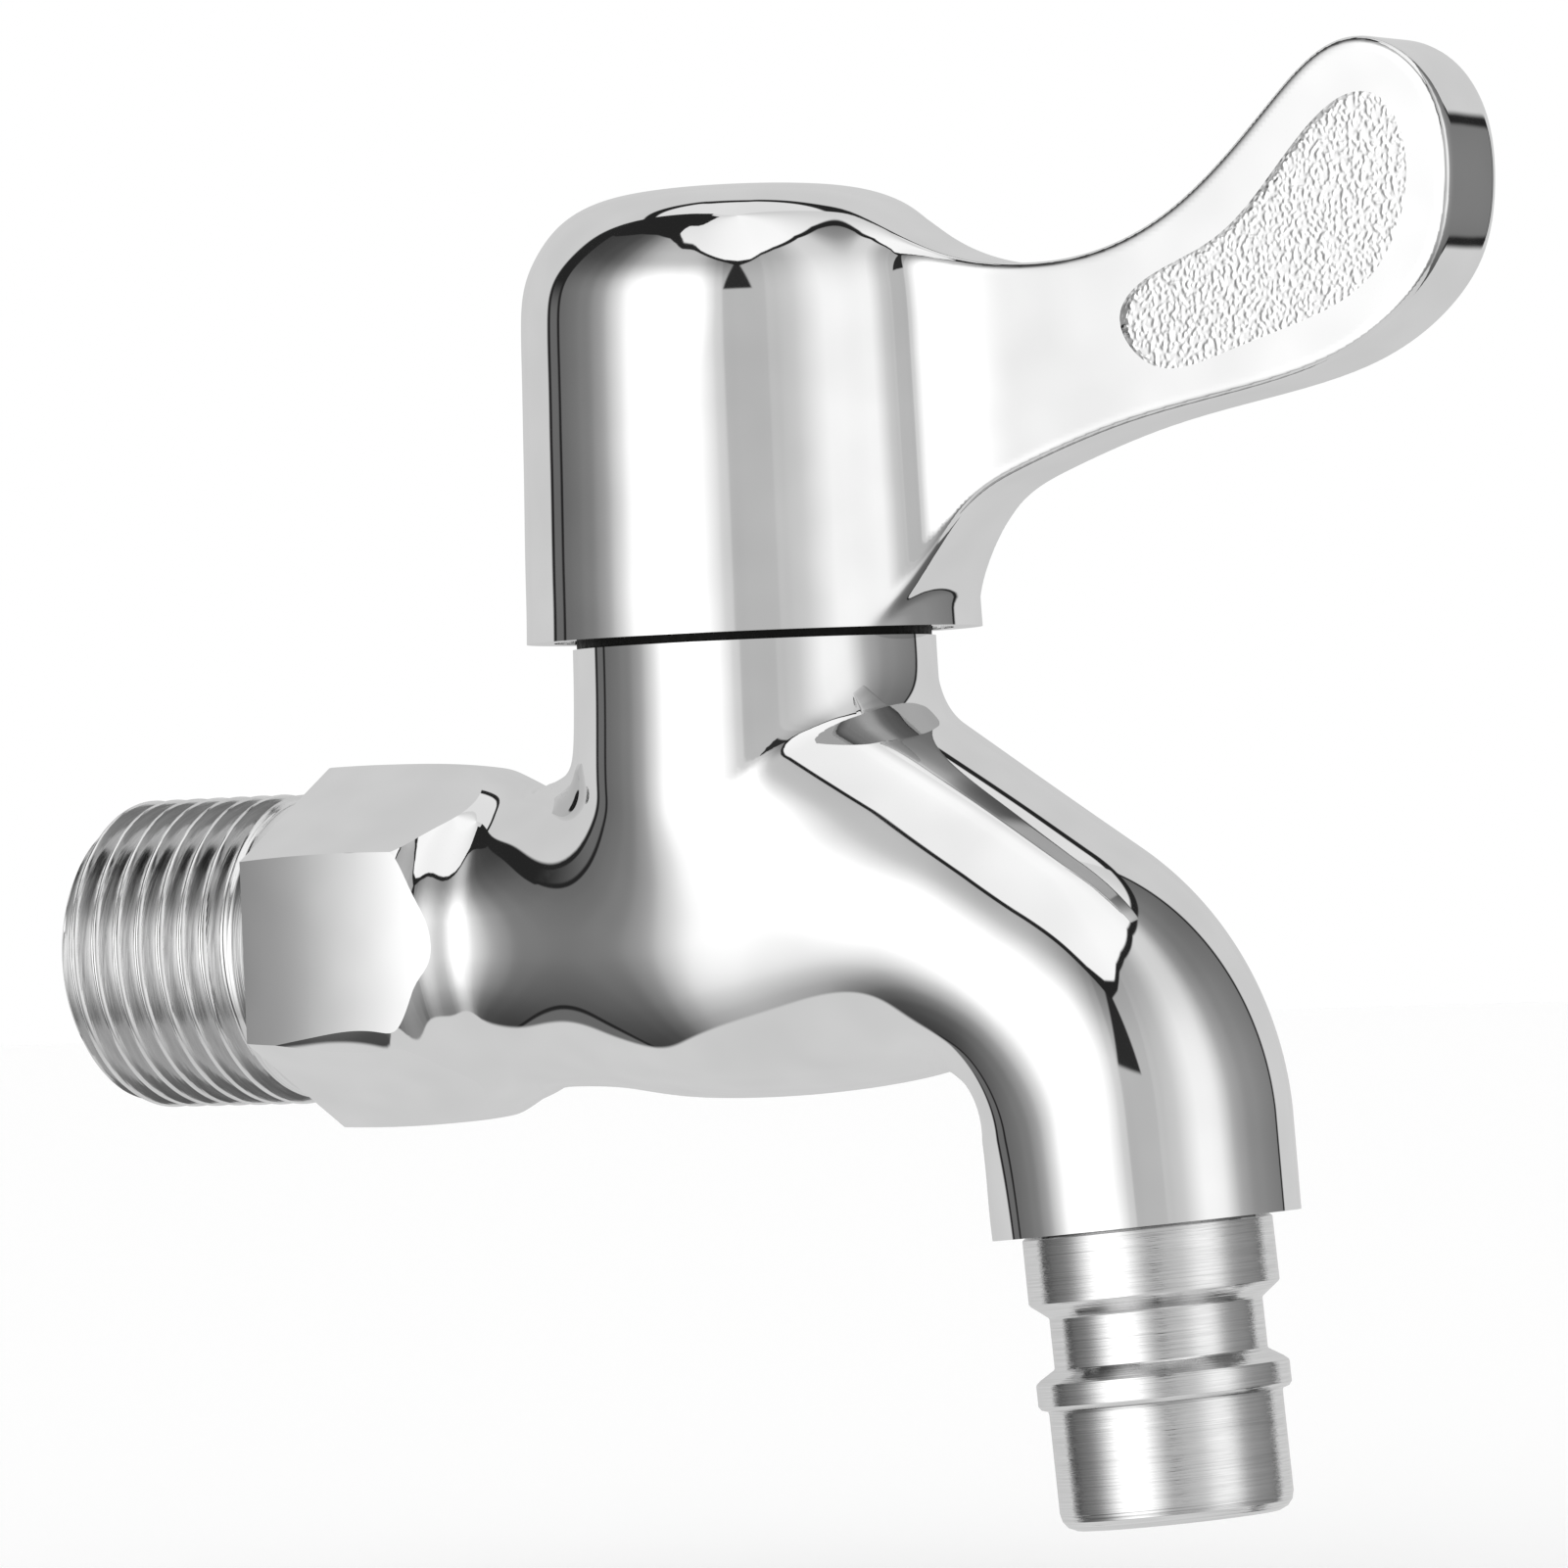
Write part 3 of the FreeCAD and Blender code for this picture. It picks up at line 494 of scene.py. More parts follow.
# Tap body
body = {
    "threadEnd": 16.2, "hexEnd": 32, "acrossFlats": 22,
    # grid step of the skin, and the box it is looked for in
    "skinStep": 0.32, "skinBox": ((15, -13.5, -22), (92.5, 13.5, 24.5)),
    # distance from the wall end, radius of the turned corners and of the neck behind them
    "turnedRadius": [(14, 12.8), (22, 12.85), (28, 12.8), (29.1, 12.6), (30, 11.7), (30.8, 11.15),
                     (31.6, 10.8), (32.2, 10.45), (33, 9.98), (34, 9.75), (35.6, 9.68), (37.6, 9.72),
                     (40.5, 9.98), (44.1, 10.5), (48.7, 10.75), (55.7, 10.55), (62.2, 10), (72, 9.6)],
    # the hexagon's sides are polished slightly round: where they are square on, and how wide the round is
    "flatMiddle": 25, "flatBend": 75,
    # height of the ground top and bottom corners of the hexagon, and the round of their edge
    "groundHeight": [(14, 12.1), (21.4, 12.15), (25.5, 12), (27.9, 11.78), (29.2, 11.6), (30.4, 11.37),
                     (31.5, 11.1), (33, 11.2), (36, 12.5), (40, 16)],
    "groundRound": 0.5, "lowerCornerLess": 0.45, "noseEnd": 71.2, "noseRound": 15,
    # barrel: radius by height, and its rounded foot
    "spindleX": 51.04, "barrelTop": 23, "barrelFoot": -10.8, "footRound": 15,
    "barrelRadius": [(-12, 10.9), (-5, 11), (0, 11.25), (5, 11.8), (9, 12.15), (14, 12),
                     (18, 11.87), (25, 11.85)],
    # groove under the handle's rim, coloured near-black as painted shade: it shows as the dark line of the
    # shadowed gap under the rim
    "grooveRadius": 11.6, "grooveLow": 18.92, "grooveHigh": 19.7,
    # spout: bent tube, wider than high at its root and a little flatter below, until the bend
    "spoutRadius": 10, "spoutEndRadius": 9.85, "spoutSlope": 32.9, "spoutStartZ": 10.65,
    "spoutEnd": (79.05, -19.4), "spoutEndTilt": 4.33, "spoutBend": 12.5,
    "spoutWide": 0.1, "spoutWideRun": (4, 22), "underLess": 0.15, "underLessRun": (-2, 7),
    # inside corners of the casting: over the spout, under it, and at the sides where the forms flow together
    "topCorner": 9, "topSideCorner": 2.5, "underCorner": 4, "lowCorner": 6.2, "sideCorner": 9,
    "sideBlend": 3,
    # heights and distances from the middle plane over which those corners change into one another
    "overRun": (4, 11), "sideRun": (3.5, 9.5), "topSideRun": (2, 8),
    # how much wider than high the body is where the neck, barrel and spout flow together
    "belly": [(14, 1), (34, 1), (37.6, 1.012), (40, 1.03), (44, 1.04), (48, 1.05),
              (52, 1.065), (56, 1.08), (61, 1.1), (66, 1.08), (72, 1.03)],
    # water way: radii, in the order in which the water takes them, and where they end
    "inletBore": 6.5, "dropBore": 4.2, "seatBore": 4, "chamberBore": 9.2, "spoutBore": 4.8,
    "socketBore": 7.25, "inletBoreEnd": 36, "dropZ": -4.5, "chamberZ": 1.6, "socketDepth": 7.2,
}


def spoutLine():
    slope, tilt = math.radians(body["spoutSlope"]), math.radians(body["spoutEndTilt"])
    along = np.array([math.cos(slope), -math.sin(slope)])
    down = np.array([math.sin(tilt), -math.cos(tilt)])
    start = np.array([body["spindleX"], body["spoutStartZ"]])
    end = np.array(body["spoutEnd"])
    gap = end - start
    reach = (gap[0] * down[1] - gap[1] * down[0]) / (along[0] * down[1] - along[1] * down[0])
    corner = start + along * reach
    turn = math.acos(along @ down)
    setback = body["spoutBend"] * math.tan(turn / 2)
    first, last = corner - along * setback, corner + down * setback
    hub = first + np.array([along[1], -along[0]]) * body["spoutBend"]
    return along, down, start, first, last, end, hub


def spoutTip():
    # Middle of the spout's end and the way it faces, in space
    along, down, start, first, last, end, hub = spoutLine()
    return np.array([end[0], 0, end[1]]), np.array([down[0], 0, down[1]])


def spoutForm(points):
    along, down, start, first, last, end, hub = spoutLine()
    flat = points[:, [0, 2]]
    run = np.clip((flat - start) @ along, 0, np.linalg.norm(first - start))
    onSlope = start + run[:, None] * along
    fall = np.clip((flat - last) @ down, 0, None)
    onFall = last + fall[:, None] * down
    onBend = hub + unit(flat - hub) * body["spoutBend"]
    inBend = ((flat - first) @ along > 0) & ((flat - last) @ down < 0)
    nearest = np.where(inBend[:, None], onBend,
                       np.where(((flat - first) @ along <= 0)[:, None], onSlope, onFall))
    wide = 1 + body["spoutWide"] * (1 - ease((flat - start) @ along, *body["spoutWideRun"]))
    # the side towards the bend's hub is flatter on the slope than on the fall
    under = ((flat - nearest) * (hub - nearest)).sum(1) > 0
    less = 1 - body["underLess"] * (1 - ease((flat - first) @ along, *body["underLessRun"]))
    high = np.where(under, less, 1.0)
    stretch = np.stack([high, wide, high], 1)
    away = np.stack([flat[:, 0] - nearest[:, 0], points[:, 1], flat[:, 1] - nearest[:, 1]], 1) / stretch
    distance = np.linalg.norm(away, axis=1)
    share = np.clip(fall / np.linalg.norm(end - last), 0, 1.2)
    radius = between(body["spoutRadius"], body["spoutEndRadius"], share)
    return distance - radius, away / stretch / np.maximum(distance, 1e-6)[:, None]


turnedTable = smoothTable(body["turnedRadius"], 0.45)
groundTable = smoothTable(body["groundHeight"], 0.5)
barrelTable = smoothTable(body["barrelRadius"], 1.2)
bellyTable = smoothTable(body["belly"], 1.0)


def neckForm(points):
    x, y, z = points.T
    radius, tilt = readTable(turnedTable, x)
    # the hexagon's corners on the lower side are turned a little smaller
    radius = radius - body["lowerCornerLess"] * ease(-x, -33, -29) * ease(-z, 0, 3)
    wide, widening = readTable(bellyTable, x)
    y = y / wide
    out = np.maximum(np.hypot(y, z), 1e-6)
    scale = np.sqrt(1 + tilt ** 2)
    slope = np.stack([-tilt - y * y * widening / (wide * out), y / (wide * out), z / out], 1) / scale[:, None]
    tube = ((out - radius) / scale, slope)
    tube = smoothCut(tube, planeForm(points, (1, 0, 0), body["noseEnd"]), body["noseRound"])
    height, rise = readTable(groundTable, x)
    ground = (np.abs(z) - height, np.stack([-rise, 0 * z, np.where(z < 0, -1.0, 1.0)], 1))
    return smoothCut(tube, ground, body["groundRound"])


def barrelForm(points):
    x, y, z = points.T
    radius, tilt = readTable(barrelTable, z)
    side = x - body["spindleX"]
    out = np.maximum(np.hypot(side, y), 1e-6)
    tube = (out - radius, np.stack([side / out, y / out, -tilt], 1))
    return smoothCut(tube, planeForm(points, (0, 0, -1), -body["barrelFoot"]), body["footRound"])


def bodyForm(points):
    width = np.abs(points[:, 1])
    over = ease(points[:, 2], *body["overRun"])
    side = ease(width, *body["sideRun"]) * (1 - over)
    sideways = (body["sideCorner"] - body["lowCorner"]) * side
    least = 0.02 + body["sideBlend"] * side
    joined = castUnion(neckForm(points), barrelForm(points), body["lowCorner"] + sideways, least)
    topCorner = between(body["topCorner"], body["topSideCorner"], ease(width, *body["topSideRun"]))
    spoutCorner = between(body["underCorner"], topCorner, over) + sideways
    return castUnion(joined, spoutForm(points), spoutCorner, least)


def flatLevel(x):
    return body["acrossFlats"] / 2 - (x - body["flatMiddle"]) ** 2 / (2 * body["flatBend"])


def flatForm(turn):
    # One side of the hexagon
    def form(points):
        x = points[:, 0]
        value = points[:, 1] * math.sin(turn) + points[:, 2] * math.cos(turn) - flatLevel(x)
        value = np.where(x < body["hexEnd"], value, 1.0)
        tilt = (x - body["flatMiddle"]) / body["flatBend"]
        slope = np.stack([tilt, 0 * x + math.sin(turn), 0 * x + math.cos(turn)], 1)
        return value, slope
    return form


def hexCutter():
    # Six-sided ring that leaves the hexagon's flats, a little longer than they are
    stations = np.linspace(body["threadEnd"] - 2, body["hexEnd"] + 3, 40)
    outer = 2 * body["acrossFlats"]
    inside = [(flatLevel(x) * 2 / math.sqrt(3), x) for x in stations]
    return turned("cutter", inside + [(outer, stations[-1]), (outer, stations[0])], (0, 0, 0), (1, 0, 0), 6)


def waterWay():
    # Inlet bore, drop to the seat, cartridge chamber, spout bore and the nipple's socket;
    # each cutter reaches into the next one or out of the metal
    along, down, start, first, last, end, hub = spoutLine()
    tip, fall = spoutTip()
    spindle = body["spindleX"]
    drop = (spindle, 0, body["dropZ"])
    turns = np.linspace(math.atan2(*(first - hub)[::-1]), math.atan2(*(last - hub)[::-1]), 12)
    arc = [hub + body["spoutBend"] * np.array([math.cos(a), math.sin(a)]) for a in turns]
    run = [(x, 0, z) for x, z in [start + along * 4] + arc + [end]]
    cutters = [rod((14, 0, 0), (body["inletBoreEnd"], 0, 0), body["inletBore"]),
               rod((33, 0, 0), drop, body["dropBore"]), ball(drop, body["dropBore"]),
               rod(drop, (spindle, 0, body["chamberZ"] + 0.1), body["seatBore"]),
               rod((spindle, 0, body["chamberZ"]), (spindle, 0, 30), body["chamberBore"], 96)]
    cutters += [rod(a, b, body["spoutBore"], 48) for a, b in zip(run, run[1:])]
    cutters += [ball(spot, body["spoutBore"]) for spot in run[1:-1]]
    return cutters + [rod(tip - fall * body["socketDepth"], tip + fall * 2, body["socketBore"])]


def makeBody():
    points, faces = skinOf(bodyForm, *body["skinBox"], body["skinStep"])
    piece = meshOf("tapBody", points, faces)
    # square ends at the thread, on top of the barrel and at the spout's mouth
    tip, fall = spoutTip()
    corner, side, past = tip[[0, 2]], 15 * fall[[2, 0]] * (1, -1), 8 * fall[[0, 2]]
    pastSpout = prism([corner - side, corner + side, corner + side + past, corner - side + past], -15, 15)
    beforeHex = box(10, -20, body["threadEnd"], 20)
    overBarrel = box(30, body["barrelTop"], 70, body["barrelTop"] + 10)
    carve(piece, [hexCutter(), beforeHex, overBarrel, pastSpout])
    carve(piece, waterWay())
    radius, low, high = body["grooveRadius"], body["grooveLow"], body["grooveHigh"]
    groove = [(radius, low), (14, low), (14, high), (radius, high)]
    carve(piece, [turned("cutter", groove, (body["spindleX"], 0, 0), (0, 0, 1))])
    middles = polish(piece, [bodyForm] + [flatForm(math.radians(30 + 60 * step)) for step in range(6)])
    reach = np.hypot(middles[:, 0] - body["spindleX"], middles[:, 1])
    height = middles[:, 2]
    # the groove's faces take the second material, painted shade under the handle's rim
    paintedShadeFaces = (reach > radius - 0.1) & (height > low - 0.01) & (height < high + 0.01)
    piece.data.materials.clear()
    piece.data.polygons.foreach_set("material_index", paintedShadeFaces.astype(np.int32))
    return piece


# Lever handle
handle = {
    # grid step of the skin, and the box it is looked for in, from the spindle's axis and the rim
    "skinStep": 0.27, "skinBox": ((-15.8, -15.6, -1.2), (56, 15.6, 36.1)),
    "rimZ": 19.4, "bladeHalf": 3.2, "rootRadius": 6, "seamBlend": 0.5,
    # cap: distance from the spindle's axis, height
    "capProfile": [(0, 48.65), (3.5, 48.62), (6.8, 48.4), (9.3, 47.85), (11.55, 46.6), (13.06, 44.8),
                   (13.97, 42.85), (14.35, 40), (14.42, 37), (14.51, 33), (14.63, 28), (14.74, 23.5),
                   (14.84, 19.4), (14.91, 16.4)],
    "capMiddleZ": 34,
    # hollow under the cap with its boss, the bush's bore and the screw's well: radius, height
    "cavity": [(0, 33.4), (0, 18), (13.09, 18), (12.6, 39), (9.6, 42), (7.6, 42), (7.6, 34.4),
               (5.65, 34.4), (5.65, 39.9), (2.2, 39.9), (2.2, 41.7), (4.1, 41.7), (4.1, 47.05), (5.65, 47.05),
               (5.65, 50), (0, 50)],
    # side outline of the lever: distance from the spindle's axis, height over the rim
    "outline": [(7, 28.7), (11, 27.7), (14.6, 25.3), (19, 23.3), (24, 22.6), (29.3, 23.1), (35.2, 25.6),
                (41.1, 30.4), (45.5, 34.1), (48.8, 34.9), (52.2, 33.4), (54.4, 29.9), (54.8, 25.4),
                (53.7, 21), (50.5, 17.4), (45.5, 14.8), (38.2, 13.2), (30.2, 11.7), (23, 9.5), (19.3, 7.7),
                (16.2, 4.2), (13.6, 0)],
    "recess": [(30.8, 18.4), (32.6, 20.8), (37.9, 23.1), (42.4, 27), (47.2, 31.1), (50.3, 30.9),
               (51.9, 26.9), (50.6, 21.9), (47.2, 18.7), (39.3, 16.2), (33.2, 15.4)],
    "recessDepth": 0.45, "edgeRound": 0.9,
    # the top edge gets rounder towards the root, from one distance from the axis to another
    "rootEdgeRound": 3.4, "rootEdgeFrom": 23, "rootEdgeTo": 12.5, "rootEdgeZ": 34, "rootEdgeRise": 6,
}


def capCurve():
    middle = handle["capMiddleZ"]
    profile = np.array(handle["capProfile"], float)
    turn = np.degrees(np.arctan2(profile[:, 0], profile[:, 1] - middle))
    reach = np.hypot(profile[:, 0], profile[:, 1] - middle)
    mirrored = [(-a, r) for a, r in zip(turn[3:0:-1], reach[3:0:-1])]
    return smoothTable(mirrored + list(zip(turn, reach)), 1.0, 0.05)


capTable = capCurve()


def capForm(points):
    side = points[:, 0] - body["spindleX"]
    radius = np.maximum(np.hypot(side, points[:, 1]), 1e-6)
    rise = points[:, 2] - handle["capMiddleZ"]
    reach = np.maximum(np.hypot(radius, rise), 1e-6)
    wanted, tilt = readTable(capTable, np.degrees(np.arctan2(radius, rise)))
    tilt = np.degrees(tilt) / reach
    scale = np.sqrt(1 + tilt ** 2)
    outwards = (radius - tilt * rise) / reach
    upwards = (rise + tilt * radius) / reach
    slope = np.stack([outwards * side / radius, outwards * points[:, 1] / radius, upwards], 1)
    return (reach - wanted) / scale, slope / scale[:, None]


def splineLoop(pairs, count, closed):
    # Even run of points on a smooth line through the pairs
    pairs = np.array(pairs, float)
    if closed:
        pairs = np.concatenate([pairs[-3:], pairs, pairs[:4]])
    chord = np.concatenate([[0], np.cumsum(np.sqrt(np.linalg.norm(np.diff(pairs, axis=0), axis=1)))])
    low, high = (chord[3], chord[-4]) if closed else (chord[0], chord[-1])
    spots = np.linspace(low, high, count, endpoint=not closed)
    return np.stack([naturalSpline(chord, pairs[:, k], spots) for k in (0, 1)], 1)


def sheetField(outline, low, high, step):
    # Signed distance to a closed flat outline on a grid
    across = [np.arange(low[k], high[k], step) for k in (0, 1)]
    spots = gridOf(across).reshape(-1, 2)
    start, run = outline, np.roll(outline, -1, 0) - outline
    lengths = (run ** 2).sum(1)
    field = np.empty(len(spots))
    for k in range(0, len(spots), 20000):
        some = spots[k:k + 20000]
        away = some[:, None] - start[None]
        share = np.clip((away * run).sum(2) / lengths, 0, 1)
        distance = np.sqrt(((away - share[..., None] * run) ** 2).sum(2)).min(1)
        over = (start[:, 1] > some[:, None, 1]) != (start[:, 1] + run[:, 1] > some[:, None, 1])
        drop = np.where(run[:, 1] == 0, 1e-9, run[:, 1])
        crossing = start[:, 0] + (some[:, None, 1] - start[:, 1]) / drop * run[:, 0]
        inside = (over & (some[:, None, 0] < crossing)).sum(1) % 2 == 1
        field[k:k + 20000] = np.where(inside, -distance, distance)
    return np.array(low, float), step, field.reshape(len(across[0]), len(across[1]))


def readField(sheet, flat):
    # Cubic reading of the field and its slope
    low, step, field = sheet
    place = np.clip((flat - low) / step, 1.001, np.array(field.shape) - 3.001)
    cell = place.astype(int)
    t = place - cell
    weights, tilts = [], []
    for k in (0, 1):
        u = t[:, k]
        weights.append(np.stack([(1 - u) ** 3, 3 * u ** 3 - 6 * u ** 2 + 4,
                                 -3 * u ** 3 + 3 * u ** 2 + 3 * u + 1, u ** 3], 1) / 6)
        tilts.append(np.stack([-(1 - u) ** 2, 3 * u ** 2 - 4 * u, -3 * u ** 2 + 2 * u + 1, u ** 2], 1) / 2)
    near = np.arange(-1, 3)
    patch = field[cell[:, 0, None, None] + near[:, None], cell[:, 1, None, None] + near[None]]
    value = np.einsum("nij,ni,nj->n", patch, weights[0], weights[1])
    tiltX = np.einsum("nij,ni,nj->n", patch, tilts[0], weights[1]) / step
    tiltZ = np.einsum("nij,ni,nj->n", patch, weights[0], tilts[1]) / step
    return value, np.stack([tiltX, tiltZ], 1)


def leverOutline():
    # Closed by a straight way back through the cap and below its rim
    line = splineLoop(handle["outline"], 520, False)
    return np.concatenate([line, [(12.0, -4.0), (4.0, -4.0), (4.0, 28.0)]])


leverField = sheetField(leverOutline(), (1.0, -6.0), (60.0, 38.0), 0.2)


def sheetForm(sheet, points):
    value, tilt = readField(sheet, points[:, [0, 2]] - (body["spindleX"], handle["rimZ"]))
    return value, np.stack([tilt[:, 0], np.zeros(len(points)), tilt[:, 1]], 1)


def handleForm(points):
    cap = capForm(points)
    y = points[:, 1]
    blade = (np.abs(y) - handle["bladeHalf"], np.stack([0 * y, np.where(y < 0, -1.0, 1.0), 0 * y], 1))
    flared = castUnion(cap, blade, handle["rootRadius"])
    rootRun = handle["rootEdgeFrom"] - handle["rootEdgeTo"]
    near = np.clip((handle["rootEdgeFrom"] + body["spindleX"] - points[:, 0]) / rootRun, 0, 1)
    upper = np.clip((points[:, 2] - handle["rootEdgeZ"]) / handle["rootEdgeRise"], 0, 1)
    more = handle["rootEdgeRound"] - handle["edgeRound"]
    size = handle["edgeRound"] + more * near ** 2 * upper
    lever = smoothCut(flared, sheetForm(leverField, points), size)
    return smoothUnion(cap, lever, handle["seamBlend"])


def makeHandle():
    middle, rim = body["spindleX"], handle["rimZ"]
    corners = np.array(handle["skinBox"]) + (middle, 0, rim)
    points, faces = skinOf(handleForm, *corners, handle["skinStep"])
    piece = meshOf("leverHandle", points, faces)
    below = box(middle - 30, rim - 5, middle + 90, rim)
    cavity = turned("cutter", handle["cavity"], (middle, 0, 0), (0, 0, 1))
    loop = splineLoop(handle["recess"], 240, True) + (middle, rim)
    floor = handle["bladeHalf"] - handle["recessDepth"]
    carve(piece, [below, cavity, prism(loop, floor, floor + 5), prism(loop, -floor - 5, -floor)])
    polish(piece, [handleForm])
    return piece


# Inlet thread: half inch pipe thread, cut on the tap's tail
thread = {
    # lengths in mm
    "sizes": {"crestRadius": 10.4775, "depth": 1.1616, "pitch": 1.8143, "tipRound": 0.3, "length": 16.25,
              "boreRadius": 6.5, "chamferRadius": 9.3, "runOut": 2.6, "runOutRadius": 10.1},
    "flankHalfAngle": 27.5, "rowsPerTurn": 20, "around": 192, "sharpFrom": 35,
}


def newTree(name, sockets):
    # Geometry Nodes group with the input sockets given, by kind, and one for the material
    tree = bpy.data.node_groups.new(name, "GeometryNodeTree")
    tree.interface.new_socket("Geometry", in_out="OUTPUT", socket_type="NodeSocketGeometry")
    for kind, names in [*sockets.items(), ("Material", ["material"])]:
        for socket in names:
            tree.interface.new_socket(socket, in_out="INPUT", socket_type="NodeSocket" + kind)
    return tree, addNode(tree, "NodeGroupInput").outputs


def closeTree(tree, geometry, material):
    real = addNode(tree, "GeometryNodeRealizeInstances", {"Geometry": geometry}).outputs[0]
    painted = addNode(tree, "GeometryNodeSetMaterial", {"Geometry": real, "Material": material}).outputs[0]
    addNode(tree, "NodeGroupOutput", {"Geometry": painted})


def threadTree():
    # Sheet of rows that climb one pitch per turn, wrapped round the axis and lifted to the thread's profile
    sockets = {"Float": [*thread["sizes"], "rowStep", "flankSlope"], "Int": ["rows", "around"]}
    tree, given = newTree("pipeThread", sockets)
    columns = maths(tree, given["around"], ("ADD", 1.0))
    feeds = {"Size X": 1.0, "Size Y": 1.0, "Vertices X": given["rows"], "Vertices Y": columns}
    grid = addNode(tree, "GeometryNodeMeshGrid", feeds).outputs[0]
    position = addNode(tree, "GeometryNodeInputPosition").outputs[0]
    spot = addNode(tree, "ShaderNodeSeparateXYZ", {0: position}).outputs
    turn = maths(tree, spot["Y"], ("ADD", 0.5))
    # rows run from one turn before the start to the end, and the last three go back through the bore
    lastNumber = maths(tree, given["rows"], ("SUBTRACT", 1.0))
    row = maths(tree, spot["X"], ("ADD", 0.5), ("MULTIPLY", lastNumber), ("ROUND",))
    threadRows = maths(tree, given["rows"], ("SUBTRACT", 4.0))
    climb = maths(tree, turn, ("MULTIPLY", given["pitch"]))
    along = maths(tree, row, ("MULTIPLY", given["rowStep"]), ("SUBTRACT", given["pitch"]), ("ADD", climb))
    place = maths(tree, along, ("MAXIMUM", 0.0), ("MINIMUM", given["length"]))
    # distance from the nearest crest, and the flank's fall with it
    phase = maths(tree, place, ("DIVIDE", given["pitch"]), ("SUBTRACT", turn))
    off = maths(tree, phase, ("FRACT",), ("SUBTRACT", 0.5), ("ABSOLUTE",), ("MULTIPLY", given["pitch"]))
    fall = maths(tree, off, ("MULTIPLY", given["flankSlope"]))
    # the flanks meet a little over the crest, which keeps its height when it is rounded
    tip = maths(tree, given["tipRound"], ("MULTIPLY", 0.75))
    flank = maths(tree, given["crestRadius"], ("ADD", tip), ("SUBTRACT", fall))
    root = maths(tree, given["crestRadius"], ("SUBTRACT", given["depth"]))
    cut = maths(tree, flank, ("SMOOTH_MIN", given["crestRadius"], given["tipRound"]),
                ("SMOOTH_MAX", root, given["tipRound"]))
    chamfer = maths(tree, given["chamferRadius"], ("ADD", place))
    # over the first half of the run-out the thread passes into the plain radius
    lateFrom = maths(tree, given["length"], ("SUBTRACT", given["runOut"]))
    plainPart = maths(tree, given["runOut"], ("MULTIPLY", 0.45))
    late = softStep(tree, place, lateFrom, maths(tree, given["length"], ("SUBTRACT", plainPart)))
    outer = mixed(tree, late, maths(tree, cut, ("MINIMUM", chamfer)), given["runOutRadius"])
    # the four closing rows: end face out, end face in, start face in, start face out
    pastThread = maths(tree, row, ("SUBTRACT", threadRows))
    backBore, frontBore, lastRow = [maths(tree, pastThread, ("GREATER_THAN", k)) for k in (0.5, 1.5, 2.5)]
    radius = mixed(tree, lastRow, mixed(tree, backBore, outer, given["boreRadius"]), given["chamferRadius"])
    place = mixed(tree, frontBore, mixed(tree, backBore, place, given["length"]), 0.0)
    angle = maths(tree, turn, ("MULTIPLY", 2 * math.pi))
    y = maths(tree, angle, ("COSINE",), ("MULTIPLY", radius))
    z = maths(tree, angle, ("SINE",), ("MULTIPLY", radius))
    wrapped = addNode(tree, "ShaderNodeCombineXYZ", {0: place, 1: y, 2: z}).outputs[0]
    tube = addNode(tree, "GeometryNodeSetPosition", {"Geometry": grid, "Position": wrapped}).outputs[0]
    welded = addNode(tree, "GeometryNodeMergeByDistance", {"Geometry": tube, "Distance": 0.004 * mm})
    closeTree(tree, welded.outputs[0], given["material"])
    return tree


def grow(name, tree, values, base=None):
    # Runs the tree on a base mesh and keeps what it makes as one mesh
    item = bpy.data.objects.new(name, base or bpy.data.meshes.new(name))
    bpy.context.scene.collection.objects.link(item)
    change = item.modifiers.new("grow", "NODES")
    change.node_group = tree
    for socket in tree.interface.items_tree:
        if socket.name in values:
            change[socket.identifier] = values[socket.name]
    bake(item)
    return item


def makeThread(material):
    pitch, perTurn = thread["sizes"]["pitch"], thread["rowsPerTurn"]
    values = {key: size * mm for key, size in thread["sizes"].items()}
    values["rowStep"] = pitch / perTurn * mm
    values["rows"] = math.ceil((thread["sizes"]["length"] / pitch + 1) * perTurn) + 4
    values["around"] = thread["around"]
    values["flankSlope"] = 1 / math.tan(math.radians(thread["flankHalfAngle"]))
    values["material"] = material
    piece = grow("inletThread", threadTree(), values)
    outward(piece.data)
    shadeSmooth(piece, thread["sharpFrom"])
    return piece


# Outlet nipple
nipple = {
    "boreRadius": 4.8, "mouthChamfer": 0.3, "rowStep": 0.16, "chatter": 0.004, "around": 160, "sharpFrom": 20,
    # outer line from the socket down to the tip: radius, distance below the spout's end
    "profile": [(7.2, -6), (7.2, -0.05), (7.75, 0), (7.98, 0.22), (8, 4.25), (7.9, 4.4), (6.86, 5.2),
                (6.8, 5.3), (6.8, 8.45), (6.86, 8.55), (7.75, 9.1), (8.04, 9.35), (8.08, 9.5), (8.08, 10.75),
                (7.9, 11), (7.5, 11.12), (7.45, 11.3), (7.45, 17.6), (7.32, 18.15), (7, 18.55),
                (6.5, 18.78), (6.2, 18.8)],
}


def makeNipple():
    # Turned part: long straight runs carry the tool's fine rings
    chance = np.random.default_rng(4)
    profile, bore, chamfer = nipple["profile"], nipple["boreRadius"], nipple["mouthChamfer"]
    tipEnd = profile[-1][1]
    line = [(bore, tipEnd - chamfer), (bore, profile[0][1])]
    for (radiusA, lowA), (radiusB, lowB) in zip(profile, profile[1:]):
        straight = radiusA == radiusB and lowA > 0
        count = max(1, int(abs(lowB - lowA) / nipple["rowStep"])) if straight else 1
        for k in range(count):
            cut = nipple["chatter"] * chance.uniform(0, 1) if k else 0
            line.append((between(radiusA, radiusB, k / count) - cut, between(lowA, lowB, k / count)))
    line += [profile[-1], (bore + chamfer, tipEnd)]
    piece = turned("outletNipple", line, *spoutTip(), nipple["around"])
    shadeSmooth(piece, nipple["sharpFrom"])
    return piece


